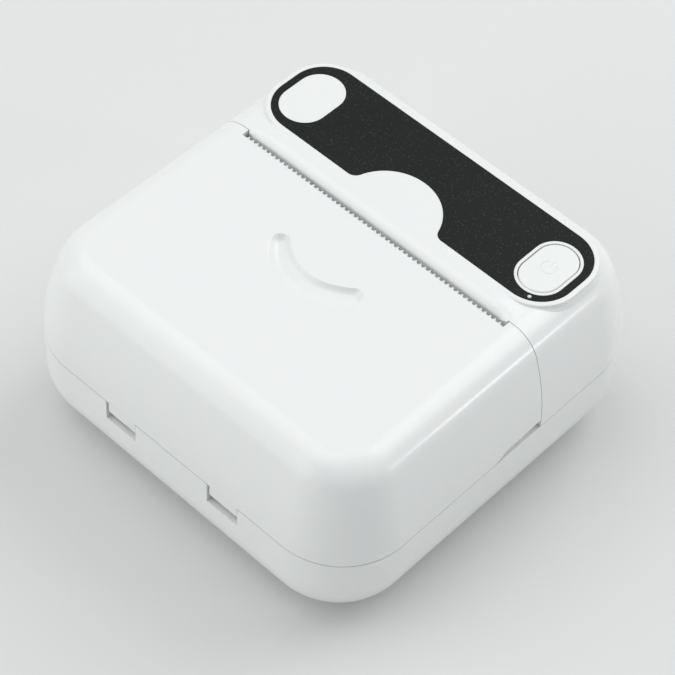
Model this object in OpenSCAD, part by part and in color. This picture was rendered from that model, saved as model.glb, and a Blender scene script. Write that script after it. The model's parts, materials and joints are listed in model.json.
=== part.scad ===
// Pocket thermal printer: a rounded white case, a front lid on two hinges in the front wall,
// a paper cradle under the lid, and a platen roller in the lid that meets the print head.
// Origin: centre of the footprint, on the table. -Y is the front, +X the right side, +Z up.

/* [Case] */
// Width of the case, left to right
case_w = 78; // [77:0.5:80]
// Depth of the case, front to back
case_d = 77.2; // [77:0.2:79]
// Height from the table to the top of the black panel
case_h = 38; // [38:0.25:39]
// Corner radius of the case, seen from above
corner_r = 13.7; // [13.2:0.1:14]
// Wall thickness of the mouldings
wall = 1.8; // [1.7:0.05:1.9]
// Height of the seam between the lower case and the upper parts
seam_z = 17.9; // [17.8:0.05:18]
// Radius of the case's bottom edge
bottom_r = 9.8; // [9:0.1:10]
// Radius where the flat top turns over into the shoulder
brow_r = 6; // [5.8:0.1:6.2]
// Radius of the long curve down the case's sides
flank_r = 46; // [45:0.5:47]

/* [Lid and paper path] */
// Where the lid's rear edge meets the rear housing
split_y = 9; // [9:0.05:9.1]
// Length of the paper slot
slot_l = 59.4; // [59:0.1:59.6]
// Y of the front edge of the paper slot
slot_front_y = 7.4; // [7.3:0.05:7.5]
// Widest paper that the cradle takes
paper_w = 57; // [50:1:57]
// Outer radius of the platen roller
platen_r = 4.1; // [4:0.05:4.12]
// Pitch of the tear teeth
tooth_pitch = 1.2; // [1:0.1:1.5]
// How far the lid opens, in degrees
lid_open = 85; // [60:5:85]

/* [Top panel] */
// Half length of the black panel
panel_half_x = 32.8; // [32:0.1:33]
// Front and back edges of the black panel
panel_y = [13.6, 30.9];
// Corner radius of the black panel
panel_r = 6.7; // [5:0.1:7]
// X of the oval pads at the panel's two ends
oval_x = 27; // [26.5:0.1:27.2]
// Half width and half length of the oval pads
oval_half = [4.5, 6.55];
// Radius of the rounded lobe in the panel's front edge
lobe_r = 9.4; // [8:0.1:10]

/* [Gears] */
// Module of all gear teeth
gear_m = 0.5; // [0.5]
// Teeth on the platen's gear
platen_teeth = 16; // [16]
// Teeth on the idler gear
idler_teeth = 30; // [30]
// Teeth on the motor's pinion
pinion_teeth = 14; // [14]

/* [Hidden] */
$fn = 96;

white = "#e9ece8";
black = "#262826";
steel = "#b9bcbf";
seam_gap = 0.3;             // between the lid or rear housing and the lower case
split_gap = 0.3;            // between the lid and the rear housing
eps = 0.01;
half_x = case_w / 2;
half_y = case_d / 2;
foot_h = 0.6;               // the case's underside above the table
panel_lift = 0.1;           // the panel stands this far above its white rim
rim_z = case_h - panel_lift;
rim_w = 0.95;               // white rim around the panel
deck_z = case_h - 0.6;      // the case's flat top
skin_z = deck_z - wall;     // underside of the top wall
floor_z = foot_h + wall;
centre_x = half_x - corner_r;
centre_y = half_y - corner_r;
upper_z = seam_z + seam_gap / 2;
lower_z = seam_z - seam_gap / 2;

// Shoulder: a small arc tangent to the top, inside a large one that is upright near the seam.
// They meet at an angle whose cosine and sine are short decimals, so the arcs join exactly.
lean = [0.936, 0.352];
brow_c = [corner_r - flank_r + (flank_r - brow_r) * lean[0], deck_z - brow_r];
flank_c = brow_c - (flank_r - brow_r) * lean;

// Hinge of the lid, inside the case's front wall
hinge_in = 1.3;             // hinge axis behind the front face
hinge_drop = 2.5;           // hinge axis below the seam
hinge_y = -half_y + hinge_in;
hinge_z = seam_z - hinge_drop;
hinge_x = 11.9;             // centres of the two hinge windows
window_w = 7;
window_h = 4.6;
tab_w = 6.3;
knuckle_r = 1.05;
pin_r = 0.6;
pin_l = 13;
pin_play = 0.06;            // radial clearance of the lid's bores on the pins

// Platen, in the lid, and the gear train on the left side plate
platen_y = slot_front_y - platen_r + 0.2;
platen_z = 28.9;
platen_half = 28.8;
shaft_r = 1.25;
bushing_play = 0.04;
swing = [hinge_z - platen_z, platen_y - hinge_y];     // way the platen leaves when the lid opens
swing_dir = swing / norm(swing);
mesh_play = 0.06;           // extra centre distance between meshing gears
idler_c = [platen_y, platen_z] - swing_dir * (gear_m * (platen_teeth + idler_teeth) / 2 + mesh_play);
pinion_dir = [0.93, 0.3676];
pinion_c = idler_c + pinion_dir * (gear_m * (idler_teeth + pinion_teeth) / 2 + mesh_play);
gear_x = -31.8;             // inner face of all three gears
gear_w = 1.6;
plate_x = 30.7;             // inner face of the frame's side plates
plate_t = 0.8;
arm_x = 29.2;               // inner face of the lid frame's arms
arm_t = 1.2;
platen_phase = atan2(-swing_dir[1], -swing_dir[0]);
idler_phase = mesh_phase(platen_phase, platen_phase, platen_teeth, idler_teeth);
pinion_phase = mesh_phase(atan2(pinion_dir[1], pinion_dir[0]), idler_phase, idler_teeth, pinion_teeth);

// Print head and what stands behind it
head_gap = 0.08;
head_y = platen_y + platen_r + head_gap;
head_t = 1;
head_half = 29.2;
sink_y = head_y + head_t;
sink_t = 2.2;
frame_z = 14.6;             // underside of the mechanism frame
back_wall_y = 14.2;

// Paper cradle
bin_c = [-15.5, 21];
bin_r = 17;
bin_t = 1.2;
bin_half = paper_w / 2 + 0.7;
bin_rim_z = 24.5;

board_z = 27.5;
board_t = 1;
board_y = 15.6;
usb_z = board_z + board_t + 1.6;
button_gap = 0.25;
collar_w = 0.7;             // white ring around the power button
button_c = [oval_x, (panel_y[0] + panel_y[1]) / 2 - 0.35];
button_half = [oval_half[0] - collar_w - button_gap, oval_half[1] - collar_w - button_gap];
button_travel = 0.6;
light_c = [28.7, 15];
light_r = 0.5;
lobe_c = [0, 11.85];
lobe_fillet = 1.8;
front_screws = [[-12, -27], [12, -27]];
rear_screws = [[-27.5, 30.4], [27.5, 30.4]];
frame_feet = [[-28.3, 7], [28.3, 7], [-28.3, 21.2], [28.3, 21.2]];
lid_screws_at = [[-12, -0.5], [12, -0.5]];
board_posts = [[-14.5, 18], [-14.5, 33], [20.5, 33], [18.5, 17.5]];
foot_at = [[-24, -23], [24, -23], [-24, 20], [24, 20]];

// Angle of a tooth on gear b, so that it meshes with gear a along the direction "to"
function mesh_phase(to, phase_a, teeth_a, teeth_b) =
    to + 180 - (phase_a - to) * teeth_a / teeth_b + 180 / teeth_b;

// Involute of a circle of radius r at roll angle t in degrees
function involute(r, t) = r * [cos(t) + t * PI / 180 * sin(t), sin(t) - t * PI / 180 * cos(t)];
function turn(p, a) = [p[0] * cos(a) - p[1] * sin(a), p[0] * sin(a) + p[1] * cos(a)];
function roll(base, r) = r <= base ? 0 : sqrt(pow(r / base, 2) - 1) * 180 / PI;

// 2D: rounded rectangle from exact arcs
module rounded_rect(x0, y0, x1, y1, r) {
    translate([x0 + r, y0]) square([x1 - x0 - 2 * r, y1 - y0]);
    translate([x0, y0 + r]) square([x1 - x0, y1 - y0 - 2 * r]);
    for (x = [x0 + r, x1 - r], y = [y0 + r, y1 - r])
        translate([x, y]) circle(r);
}

// 2D: upright oval with round ends
module oval(half_w, half_l) {
    translate([-half_w, -(half_l - half_w)]) square([2 * half_w, 2 * (half_l - half_w)]);
    for (s = [-1, 1])
        translate([0, s * (half_l - half_w)]) circle(half_w);
}

// A bar with round ends, along Y at the given centre
module oval_bar(at, half, z0, z1) {
    translate([at[0], at[1], z0]) linear_extrude(z1 - z0) oval(half[0], half[1]);
}

// Cylinder along X from x0 to x1, at [y, z]
module along_x(at, r, x0, x1) {
    translate([x0, at[0], at[1]]) rotate([0, 90, 0]) cylinder(r = r, h = x1 - x0);
}

// A (y, z) outline extruded along X
module prism_x(x0, x1) {
    translate([x0, 0, 0]) rotate([90, 0, 90]) linear_extrude(x1 - x0) children();
}

// Sweeps an edge outline, drawn from the corner's axis outwards, around the rounded plan.
// z0 and z1 are the outline's lowest and highest points.
module around(z0, z1) {
    translate([0, centre_y, 0]) rotate([90, 0, 0]) linear_extrude(2 * centre_y) {
        translate([centre_x, 0]) children();
        mirror([1, 0]) translate([centre_x, 0]) children();
        translate([-centre_x, z0]) square([2 * centre_x, z1 - z0]);
    }
    for (s = [0, 1])
        mirror([0, s, 0]) translate([-centre_x, centre_y, 0]) rotate([90, 0, 90])
            linear_extrude(2 * centre_x) children();
    for (sx = [0, 1], sy = [0, 1])
        mirror([sx, 0, 0]) mirror([0, sy, 0]) translate([centre_x, centre_y, 0])
            rotate_extrude(angle = 90) children();
}

// 2D edge outline of the upper case, inset from the outer face. The two arcs share only their end point.
module upper_edge(inset, z0) {
    join_z = flank_c[1] + (flank_r - inset) * lean[1];
    intersection() {
        translate(flank_c) circle(flank_r - inset, $fn = 240);
        translate([0, z0]) square([corner_r, join_z - z0]);
    }
    intersection() {
        union() {
            translate([0, join_z]) square([brow_c[0], deck_z - inset - join_z]);
            translate(brow_c) circle(brow_r - inset);
        }
        translate([0, join_z]) square([corner_r, deck_z]);
    }
}

// 2D edge outline of the lower case, inset from the outer face
module lower_edge(inset, z1) {
    translate([0, foot_h + inset]) square([corner_r - bottom_r, z1 - foot_h - inset]);
    intersection() {
        translate([corner_r - bottom_r, foot_h + bottom_r]) circle(bottom_r - inset);
        translate([0, foot_h + inset]) square([corner_r, z1]);
    }
    translate([0, foot_h + bottom_r]) square([corner_r - inset, z1 - foot_h - bottom_r]);
}

module upper_shell() {
    difference() {
        around(upper_z, deck_z) upper_edge(0, upper_z);
        around(upper_z - 1, skin_z) upper_edge(wall, upper_z - 1);
    }
}

// Everything between two Y planes
module slice_y(y0, y1) {
    translate([-case_w, y0, -1]) cube([2 * case_w, y1 - y0, 2 * case_h]);
}

// Both hinge windows' places along X
module at_hinges() {
    for (x = [-hinge_x, hinge_x])
        translate([x, 0, 0]) children();
}

// 2D: ring between two insets from the outer plan
module plan_ring(inset_out, inset_in) {
    difference() {
        plan_inset(inset_out);
        plan_inset(inset_in);
    }
}

// 2D: the case's plan, inset from its outer face
module plan_inset(inset) {
    rounded_rect(-half_x + inset, -half_y + inset, half_x - inset, half_y - inset, corner_r - inset);
}

// Lip inside the lower case's wall, which stands up behind the seam
module lip_ring() {
    lip_t = 0.9;
    lip_h = 0.8;
    translate([0, 0, seam_z - 3]) linear_extrude(lower_z - seam_z + 3) plan_ring(wall - 0.4, wall + lip_t);
    translate([0, 0, seam_z - 2]) linear_extrude(lip_h + 2) plan_ring(wall + 0.2, wall + lip_t);
}

module lower_case() color(white) {
    post_r = 2.2;
    screw_r = 0.95;
    head_r = 2.1;
    boss_w = 3.6;
    lip_h = 0.8;
    rib_t = 1.2;
    difference() {
        union() {
            difference() {
                around(foot_h, lower_z) lower_edge(0, lower_z);
                around(floor_z, lower_z + 1) lower_edge(wall, lower_z + 1);
            }
            lip_ring();
            // Bosses that hold the hinge pins
            at_hinges() for (s = [-1, 1])
                translate([s * (window_w / 2 + boss_w / 2) - boss_w / 2, -half_y + 1, seam_z - window_h - 1])
                    cube([boss_w, 2.6, window_h + 0.7]);
            for (p = concat(front_screws, rear_screws))
                translate([p[0], p[1], floor_z - 1]) cylinder(r = post_r + 0.2, h = 3.2);
            for (p = frame_feet)
                translate([p[0], p[1], floor_z - 1]) cylinder(r = post_r, h = frame_z - floor_z + 1);
            // Ribs under the battery
            for (x = [-18, 0, 18])
                translate([x - rib_t / 2, 9, floor_z - 0.5]) cube([rib_t, 20, 2.5]);
        }
        // Windows for the lid's hinge tabs
        at_hinges()
            translate([-window_w / 2, -half_y - 1, seam_z - window_h]) cube([window_w, 5.2, window_h + 3]);
        along_x([hinge_y, hinge_z], pin_r, -hinge_x - pin_l / 2, -hinge_x + pin_l / 2);
        along_x([hinge_y, hinge_z], pin_r, hinge_x - pin_l / 2, hinge_x + pin_l / 2);
        for (p = concat(front_screws, rear_screws)) {
            translate([p[0], p[1], foot_h - 1]) cylinder(r = head_r, h = 2.9);
            translate([p[0], p[1], foot_h]) cylinder(r = screw_r + 0.15, h = 8);
        }
        for (p = frame_feet)
            translate([p[0], p[1], frame_z - 7]) cylinder(r = screw_r - 0.1, h = 8);
        for (p = foot_at)
            translate([p[0], p[1], foot_h - 1]) cylinder(r = 3.6, h = 1.4);
    }
}

// 2D: the black panel's outline, grown by a clearance
module panel_outline(grow = 0) {
    fillet_c = [sqrt(pow(lobe_r + lobe_fillet, 2) - pow(panel_y[0] + lobe_fillet - lobe_c[1], 2)),
        panel_y[0] + lobe_fillet];
    touch = lobe_c + (fillet_c - lobe_c) * lobe_r / (lobe_r + lobe_fillet);
    difference() {
        rounded_rect(-panel_half_x - grow, panel_y[0] - grow, panel_half_x + grow, panel_y[1] + grow,
            panel_r + grow);
        for (s = [-1, 1])
            translate([s * button_c[0], button_c[1]]) oval(oval_half[0] - grow, oval_half[1] - grow);
        translate(lobe_c) circle(lobe_r - grow);
        for (s = [0, 1])
            mirror([s, 0]) difference() {
                polygon([[0, panel_y[0] - 1], [fillet_c[0], panel_y[0] - 1], fillet_c, touch]);
                translate(fillet_c) circle(lobe_fillet + grow);
            }
    }
}

module rear_housing() color(white) {
    panel_fit = 0.06;
    panel_floor = case_h - 0.8;
    lip_x = slot_l / 2;
    port_w = 9.7;
    port_h = 3.9;
    boss_r = 2.2;
    difference() {
        union() {
            intersection() {
                upper_shell();
                slice_y(split_y + split_gap / 2, half_y + 1);
            }
            // Raised rim around the panel, and the slope from the slot up to it
            difference() {
                union() {
                    translate([0, 0, skin_z + 0.5]) linear_extrude(rim_z - skin_z - 0.5)
                        rounded_rect(-panel_half_x - rim_w, panel_y[0] - rim_w, panel_half_x + rim_w,
                            panel_y[1] + rim_w, panel_r + rim_w);
                    prism_x(-30.6, 30.6)
                        polygon([[split_y + split_gap / 2, skin_z + 0.5], [split_y + split_gap / 2, deck_z - 0.1],
                            [panel_y[0] - rim_w, rim_z], [lobe_c[1] + lobe_r, rim_z],
                            [lobe_c[1] + lobe_r, skin_z + 0.5]]);
                }
                translate([0, 0, panel_floor]) linear_extrude(2) panel_outline(panel_fit);
            }
            for (p = rear_screws)
                translate([p[0], p[1], 7.4]) cylinder(r = boss_r, h = skin_z - 7);
            // Posts that the board hangs from
            for (p = board_posts)
                translate([p[0], p[1], board_z + board_t]) cylinder(r = 1.5, h = skin_z - board_z - board_t + 0.4);
        }
        // Rounded lip behind the slot
        prism_x(-lip_x, lip_x)
            polygon([[split_y, deck_z - 1.3], [split_y + 1.3, deck_z + 0.3], [split_y, deck_z + 1]]);
        translate([0, 0, panel_floor]) linear_extrude(2) panel_outline(panel_fit);
        // Well of the power button, and the hole of its status light
        oval_bar(button_c, [oval_half[0] - collar_w, oval_half[1] - collar_w], skin_z - 1, case_h + 1);
        translate([light_c[0], light_c[1], skin_z - 1]) cylinder(r = light_r + 0.06, h = 5);
        // USB-C port in the back wall
        translate([0, half_y + 1, usb_z]) rotate([90, 0, 0]) linear_extrude(6) {
            square([port_w - port_h, port_h], center = true);
            for (s = [-1, 1])
                translate([s * (port_w - port_h) / 2, 0]) circle(port_h / 2);
        }
        for (p = rear_screws)
            translate([p[0], p[1], 6]) cylinder(r = 0.8, h = 9);
    }
}

module overlay_panel() color(black) {
    difference() {
        translate([0, 0, case_h - 0.8]) linear_extrude(0.8) panel_outline();
        translate([light_c[0], light_c[1], case_h - 1]) cylinder(r = light_r + 0.06, h = 2);
    }
}

module status_light_pipe() color("#dfe6ea") {
    translate([light_c[0], light_c[1], board_z + board_t + 0.6]) cylinder(r = light_r, h = 8.86);
}

module power_button() color(white) {
    oval_bar(button_c, button_half, skin_z - 0.9, case_h - 0.05);
    oval_bar(button_c, [button_half[0] + 1, button_half[1] + 0.4], skin_z - 1.1, skin_z - 0.25);
    translate([button_c[0], button_c[1], board_z + board_t + 2.9])
        cylinder(r = 1.5, h = skin_z - board_z - board_t - 3.9);
}

// Crescent hollow for the thumb, a groove of round section along an arc
module thumb_hollow() {
    groove_y = 1.4;
    groove_r = 10.6;
    groove_half_angle = 51.5;
    tube_r = 3.4;
    depth = 0.8;
    translate([0, groove_y, deck_z + tube_r - depth]) {
        rotate([0, 0, -90 - groove_half_angle]) rotate_extrude(angle = 2 * groove_half_angle)
            translate([groove_r, 0]) circle(tube_r);
        for (s = [-1, 1])
            rotate([0, 0, -90 + s * groove_half_angle]) translate([groove_r, 0, 0]) sphere(tube_r - 0.02);
    }
}

module lid_cover() color(white) {
    notch_l = 11.5;
    notch_h = 1.2;
    tab_top = upper_z + 3;
    tab_back = hinge_y + 0.8;
    rear_y = split_y - split_gap / 2;
    step_in = 0.5;
    difference() {
        union() {
            intersection() {
                upper_shell();
                slice_y(-half_y - 1, rear_y);
            }
            // Hinge tabs: flat straps that end in a knuckle round each pin
            at_hinges() {
                translate([-tab_w / 2, hinge_y - knuckle_r, hinge_z])
                    cube([tab_w, tab_back - hinge_y + knuckle_r, tab_top - hinge_z]);
                along_x([hinge_y, hinge_z], knuckle_r, -tab_w / 2, tab_w / 2);
            }
            // Ribs that stiffen the lid beside the paper bay, and bosses for the inner frame's screws
            for (s = [-1, 1]) {
                translate([s * 30.5 - 0.5, -26, skin_z - 2.2]) cube([1, 22, 3]);
                translate([s * 12, -0.5, skin_z - 1]) cylinder(r = 2.2, h = 1.5);
            }
        }
        // The front wall is thinner along the seam, so that it clears the case as the lid turns
        translate([-half_x, hinge_y - knuckle_r + step_in, 0]) difference() {
            cube([case_w, 8, upper_z + 0.45]);
            for (x = [half_x - hinge_x, half_x + hinge_x])
                translate([x - tab_w / 2, -1, 0]) cube([tab_w, 9, case_h]);
        }
        along_x([hinge_y, hinge_z], pin_r + pin_play, -hinge_x - tab_w, -hinge_x + tab_w);
        along_x([hinge_y, hinge_z], pin_r + pin_play, hinge_x - tab_w, hinge_x + tab_w);
        // Front edge of the slot, and the seat of the tear strip
        translate([-slot_l / 2, slot_front_y, skin_z - 1]) cube([slot_l, 5, 6]);
        translate([-slot_l / 2, slot_front_y - 2.2, deck_z - 1]) cube([slot_l, 5, 6]);
        for (s = [-1, 1])
            translate([s * 12, -0.5, skin_z - 2]) cylinder(r = 0.7, h = 2.8);
        thumb_hollow();
        // Finger notches in the lower edge of both sides
        prism_x(-half_x - 1, half_x + 1)
            polygon([[rear_y + 1, upper_z - 1], [rear_y + 1, upper_z + notch_h], [rear_y - notch_l + 3, upper_z + notch_h],
                [rear_y - notch_l, upper_z - 0.01], [rear_y - notch_l, upper_z - 1]]);
    }
}

// Serrated strip that the paper is torn against
module tear_strip() color(white) {
    teeth = floor((slot_l - 0.6) / tooth_pitch);
    tooth_l = 0.75;
    span = teeth * tooth_pitch;
    strip_y = slot_front_y - 2.1;
    translate([0, 0, deck_z - 0.98]) linear_extrude(0.88)
        polygon(concat(
            [[-slot_l / 2 + 0.1, strip_y], [slot_l / 2 - 0.1, strip_y], [slot_l / 2 - 0.1, slot_front_y]],
            [for (i = [0 : 2 * teeth])
                [span / 2 - i * tooth_pitch / 2, slot_front_y + (i % 2 == 1 ? tooth_l : 0)]],
            [[-slot_l / 2 + 0.1, slot_front_y]]
        ));
}

// Plate under the lid's rear edge with an arm at each end for the platen
module lid_inner_frame() color(black) {
    plate_top = skin_z - 1;
    arm_r = 2.5;
    difference() {
        union() {
            translate([-arm_x - arm_t, -3, plate_top - 1]) cube([2 * (arm_x + arm_t), 9.6, 1]);
            for (x = [-arm_x - arm_t, arm_x]) {
                prism_x(x, x + arm_t)
                    polygon([[platen_y - arm_r, platen_z], [-3, plate_top], [6.6, plate_top], [platen_y + arm_r, platen_z]]);
                along_x([platen_y, platen_z], arm_r, x, x + arm_t);
            }
        }
        for (s = [-1, 1]) {
            translate([s * 12, -0.5, plate_top - 2]) cylinder(r = 0.85, h = 3);
            along_x([platen_y, platen_z], 1.7, s * (arm_x + arm_t / 2) - 1, s * (arm_x + arm_t / 2) + 1);
        }
    }
}

module lid_screws() color(steel) {
    for (s = [-1, 1])
        translate([s * 12, -0.5, skin_z - 2]) {
            translate([0, 0, -0.9]) cylinder(r = 1.5, h = 0.9);
            cylinder(r = 0.7, h = 2.7);
        }
}

module platen_bushings() color("#d9cfae") {
    for (s = [0, 1])
        mirror([s, 0, 0]) difference() {
            union() {
                along_x([platen_y, platen_z], 1.7, arm_x, arm_x + arm_t);
                along_x([platen_y, platen_z], 2, arm_x + arm_t, plate_x + plate_t + 0.1);
            }
            along_x([platen_y, platen_z], shaft_r + bushing_play, arm_x - 1, plate_x + 2);
        }
}

module platen_roller() color("#3a3b3d") {
    difference() {
        along_x([platen_y, platen_z], platen_r, -platen_half, platen_half);
        along_x([platen_y, platen_z], shaft_r, -platen_half - 1, platen_half + 1);
    }
}

module platen_shaft() color(steel) {
    along_x([platen_y, platen_z], shaft_r, gear_x - gear_w - 0.3, plate_x + plate_t + 0.1);
}

// Spur gear along +X, its tooth flanks involutes, with a bore
module gear(at, teeth, bore_r, phase) {
    pitch_r = gear_m * teeth / 2;
    base_r = pitch_r * cos(20);
    tip_r = pitch_r + 0.9 * gear_m;
    root_r = pitch_r - 1.25 * gear_m;
    thin = 0.035 / pitch_r * 180 / PI;
    pitch_roll = roll(base_r, pitch_r);
    at_pitch = involute(base_r, pitch_roll);
    half_angle = 90 / teeth - thin + atan2(at_pitch[1], at_pitch[0]);
    flank = [for (k = [0 : 3])
        let (r = max(base_r, root_r) + (tip_r - max(base_r, root_r)) * k / 3)
        involute(base_r, roll(base_r, r))];
    low_angle = min(half_angle, 150 / teeth);
    tooth = concat(
        [[root_r * cos(-low_angle), root_r * sin(-low_angle)]],
        [for (p = flank) turn(p, -half_angle)],
        [for (k = [3 : -1 : 0]) let (p = turn(flank[k], -half_angle)) [p[0], -p[1]]],
        [[root_r * cos(low_angle), root_r * sin(low_angle)]]
    );
    difference() {
        prism_x(gear_x - gear_w, gear_x)
            translate(at) polygon([for (i = [0 : teeth - 1], p = tooth) turn(p, phase + i * 360 / teeth)]);
        along_x(at, bore_r, gear_x - gear_w - 1, gear_x + 1);
    }
}

module platen_gear() color("#efefe9") gear([platen_y, platen_z], platen_teeth, shaft_r, platen_phase);

module idler_gear() color("#efefe9") {
    difference() {
        gear(idler_c, idler_teeth, 0.95, idler_phase);
        // Web with a recess on its outer face
        difference() {
            along_x(idler_c, 5.6, gear_x - gear_w - 1, gear_x - gear_w + 0.5);
            along_x(idler_c, 2, gear_x - gear_w - 2, gear_x);
        }
    }
}

module idler_axle() color(steel) {
    along_x(idler_c, 0.9, gear_x - gear_w - 0.4, -plate_x);
    along_x(idler_c, 1.4, gear_x - gear_w - 0.8, gear_x - gear_w - 0.2);
}

module motor_pinion() color("#d8c27a") gear(pinion_c, pinion_teeth, 0.75, pinion_phase);

module motor_shaft() color(steel) along_x(pinion_c, 0.75, gear_x - gear_w - 0.3, -plate_x + 3);

module stepper_motor() color("#8d9094") {
    motor_r = 6;
    difference() {
        union() {
            along_x(pinion_c, motor_r, -plate_x + 0.6, -plate_x + 11);
            along_x(pinion_c, motor_r - 0.6, -plate_x, -plate_x + 0.6);
            along_x(pinion_c, 2.4, -plate_x + 11, -plate_x + 11.8);
        }
        along_x(pinion_c, 0.81, -plate_x - 1, -plate_x + 3.4);
    }
}

// Folded steel frame: base, two side plates with a notch for the platen's bushings, back wall
module mechanism_frame() color(steel) {
    side = [[2.4, frame_z], [23.4, frame_z], [23.4, 27], [21, 28.6], [11.5, 31.4], [8.6, 32.4],
        [-0.6, 32.4], [-0.6, 27.2], [2.4, 24]];
    notch_r = 2.15;
    notch_end = [platen_y, platen_z] + swing_dir * 6;
    difference() {
        union() {
            for (x = [-plate_x - plate_t, plate_x])
                prism_x(x, x + plate_t) polygon(side);
            translate([-plate_x - plate_t, 4, frame_z]) cube([2 * (plate_x + plate_t), 19.4, plate_t]);
            translate([-plate_x + 12.8, back_wall_y, frame_z]) cube([2 * plate_x - 12.4, plate_t, 14.2]);
        }
        for (x = [-plate_x - plate_t - 0.5, plate_x - 0.5]) {
            along_x([platen_y, platen_z], notch_r, x, x + plate_t + 1);
            prism_x(x, x + plate_t + 1)
                polygon([[platen_y - notch_r, platen_z], [notch_end[0] - 3.4, notch_end[1]],
                    [notch_end[0] + 3.4, notch_end[1]], [platen_y + notch_r, platen_z]]);
        }
        along_x(idler_c, 0.9, -plate_x - 1, -plate_x + 1);
        along_x(pinion_c, 1.6, -plate_x - 1, -plate_x + 1);
        for (p = frame_feet)
            translate([p[0], p[1], frame_z - 1]) cylinder(r = 1.05, h = 3);
        // Window in the base and in the back wall
        translate([-20, 7, frame_z - 1]) cube([40, 5.6, 3]);
        translate([-7.6, back_wall_y - 1, 21.5]) cube([15.2, 3, 5]);
    }
}

module frame_screws() color(steel) {
    for (p = frame_feet)
        translate([p[0], p[1], frame_z + plate_t]) {
            cylinder(r = 1.7, h = 0.7);
            translate([0, 0, -5]) cylinder(r = 0.85, h = 5);
        }
}

module print_head() color("#54483c") {
    translate([-head_half, head_y, 23.6]) cube([2 * head_half, head_t, 9.8]);
}

// Aluminium plate with three ribs behind the head
module head_heatsink() color("#c5c9cc") {
    translate([-head_half, sink_y, 22.4]) cube([2 * head_half, 1.2, 11]);
    for (z = [23, 27.4, 31.8])
        translate([-head_half, sink_y + 1.2, z]) cube([2 * head_half, sink_t - 1.2, 1]);
}

// Two springs that press the head on the platen
module head_springs() color(steel) {
    for (x = [-11, 11])
        translate([x, sink_y + 1.2, 25.7]) rotate([-90, 0, 0]) difference() {
            cylinder(r = 1.35, h = back_wall_y - sink_y - 1.2);
            translate([0, 0, -1]) cylinder(r = 1, h = 8);
        }
}

// Flat cable from the head, through the frame's window, to the board
module ribbon_cable() color("#c98a3c") {
    cable_t = 0.3;
    prism_x(-6.5, 6.5)
        polygon([[sink_y + 0.1, 22], [sink_y + 2.6, 22], [16.5, 27.18], [19, 27.18],
            [19, 27.48], [16.4, 27.48], [sink_y + 2.5, 22 + cable_t],
            [sink_y + 1.3, 22 + cable_t], [sink_y + 1.3, 22.38], [sink_y + 0.1, 22.38]]);
}

// Open cradle for the paper roll, with a cheek at each end
module paper_bin() color("#dfe2df") {
    out_r = bin_r + bin_t;
    difference() {
        union() {
            along_x(bin_c, out_r, -bin_half - bin_t, bin_half + bin_t);
            translate([-bin_half - bin_t, bin_c[0] - out_r, bin_c[1]])
                cube([2 * (bin_half + bin_t), 2 * out_r, bin_rim_z - bin_c[1]]);
            for (p = front_screws)
                translate([p[0], p[1], 5.7]) cylinder(r = 2.3, h = 4);
        }
        along_x(bin_c, bin_r, -bin_half, bin_half);
        translate([-bin_half, bin_c[0] - bin_r, bin_c[1]]) cube([2 * bin_half, 2 * bin_r, 20]);
        translate([-2 * case_w / 2, -case_d, bin_rim_z]) cube([2 * case_w, 2 * case_d, 40]);
        for (p = front_screws)
            translate([p[0], p[1], 4]) cylinder(r = 0.8, h = 4.2);
        // Grooves that let a finger lift the roll out
        translate([-6, bin_c[0] - out_r - 1, bin_rim_z - 2.5]) cube([12, 4, 4]);
    }
}

module paper_sensor() color(black) {
    translate([-2, bin_c[0] + bin_r + bin_t, 20.4]) cube([4, 1.4, 3.2]);
}

module main_board() color("#2f6b45") {
    difference() {
        translate([-16.5, board_y, board_z]) cube([47, 19.6, board_t]);
        for (p = rear_screws)
            translate([p[0] - 3, p[1] - 3, board_z - 1]) cube([12, 20, 3]);
        translate([23, 25.4, board_z - 1]) cube([20, 20, 3]);
    }
}

module board_chips() color("#3b3d40") {
    for (c = [[-9, 19, 6, 6], [3, 20, 5, 4], [14, 27, 4, 5], [-10, 28, 3, 2], [15, 18.5, 2.4, 1.6]])
        translate([c[0] - c[2] / 2, c[1] - c[3] / 2, board_z + board_t]) cube([c[2], c[3], 1]);
    translate([-7.2, 16.9, board_z - 1.2]) cube([14.4, 3.4, 0.86]);
    translate([light_c[0] - 0.8, board_y, board_z + board_t]) cube([1.6, 0.8, 0.5]);
}

module button_switch() color("#54575a") {
    translate([button_c[0] - 3, button_c[1] - 3, board_z + board_t]) cube([6, 6, 1.6]);
    translate([button_c[0], button_c[1], board_z + board_t + 1.5]) cylinder(r = 1.4, h = 0.7);
}

module usb_socket() color(steel) {
    socket_l = 7.6;
    outer = [8.9, 3.2];
    translate([0, half_y - 2.3, usb_z]) rotate([90, 0, 0]) {
        difference() {
            linear_extrude(socket_l) usb_outline(outer);
            translate([0, 0, -1]) linear_extrude(socket_l) usb_outline([outer[0] - 0.6, outer[1] - 0.6]);
        }
        translate([-3.3, -0.35, 0.6]) cube([6.6, 0.7, socket_l - 0.6]);
    }
}

// 2D: slot with round ends
module usb_outline(size) {
    square([size[0] - size[1], size[1]], center = true);
    for (s = [-1, 1])
        translate([s * (size[0] - size[1]) / 2, 0]) circle(size[1] / 2);
}

module battery() color("#9fa6ad") {
    translate([0, 0, floor_z + 2]) linear_extrude(7.8) rounded_rect(-23.8, 8.2, 23.8, 30.6, 1.5);
}

module hinge_pins() color(steel) {
    for (x = [-hinge_x, hinge_x])
        along_x([hinge_y, hinge_z], pin_r, x - pin_l / 2, x + pin_l / 2);
}

module case_screws() color(steel) {
    for (p = concat(front_screws, rear_screws))
        translate([p[0], p[1], 2.5]) {
            difference() {
                translate([0, 0, -1.4]) cylinder(r = 1.8, h = 1.4);
                translate([0, 0, -2]) cylinder(r = 0.9, h = 1.1, $fn = 6);
            }
            cylinder(r = 0.8, h = p[1] > 0 ? 10 : 5.4);
        }
}

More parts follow.
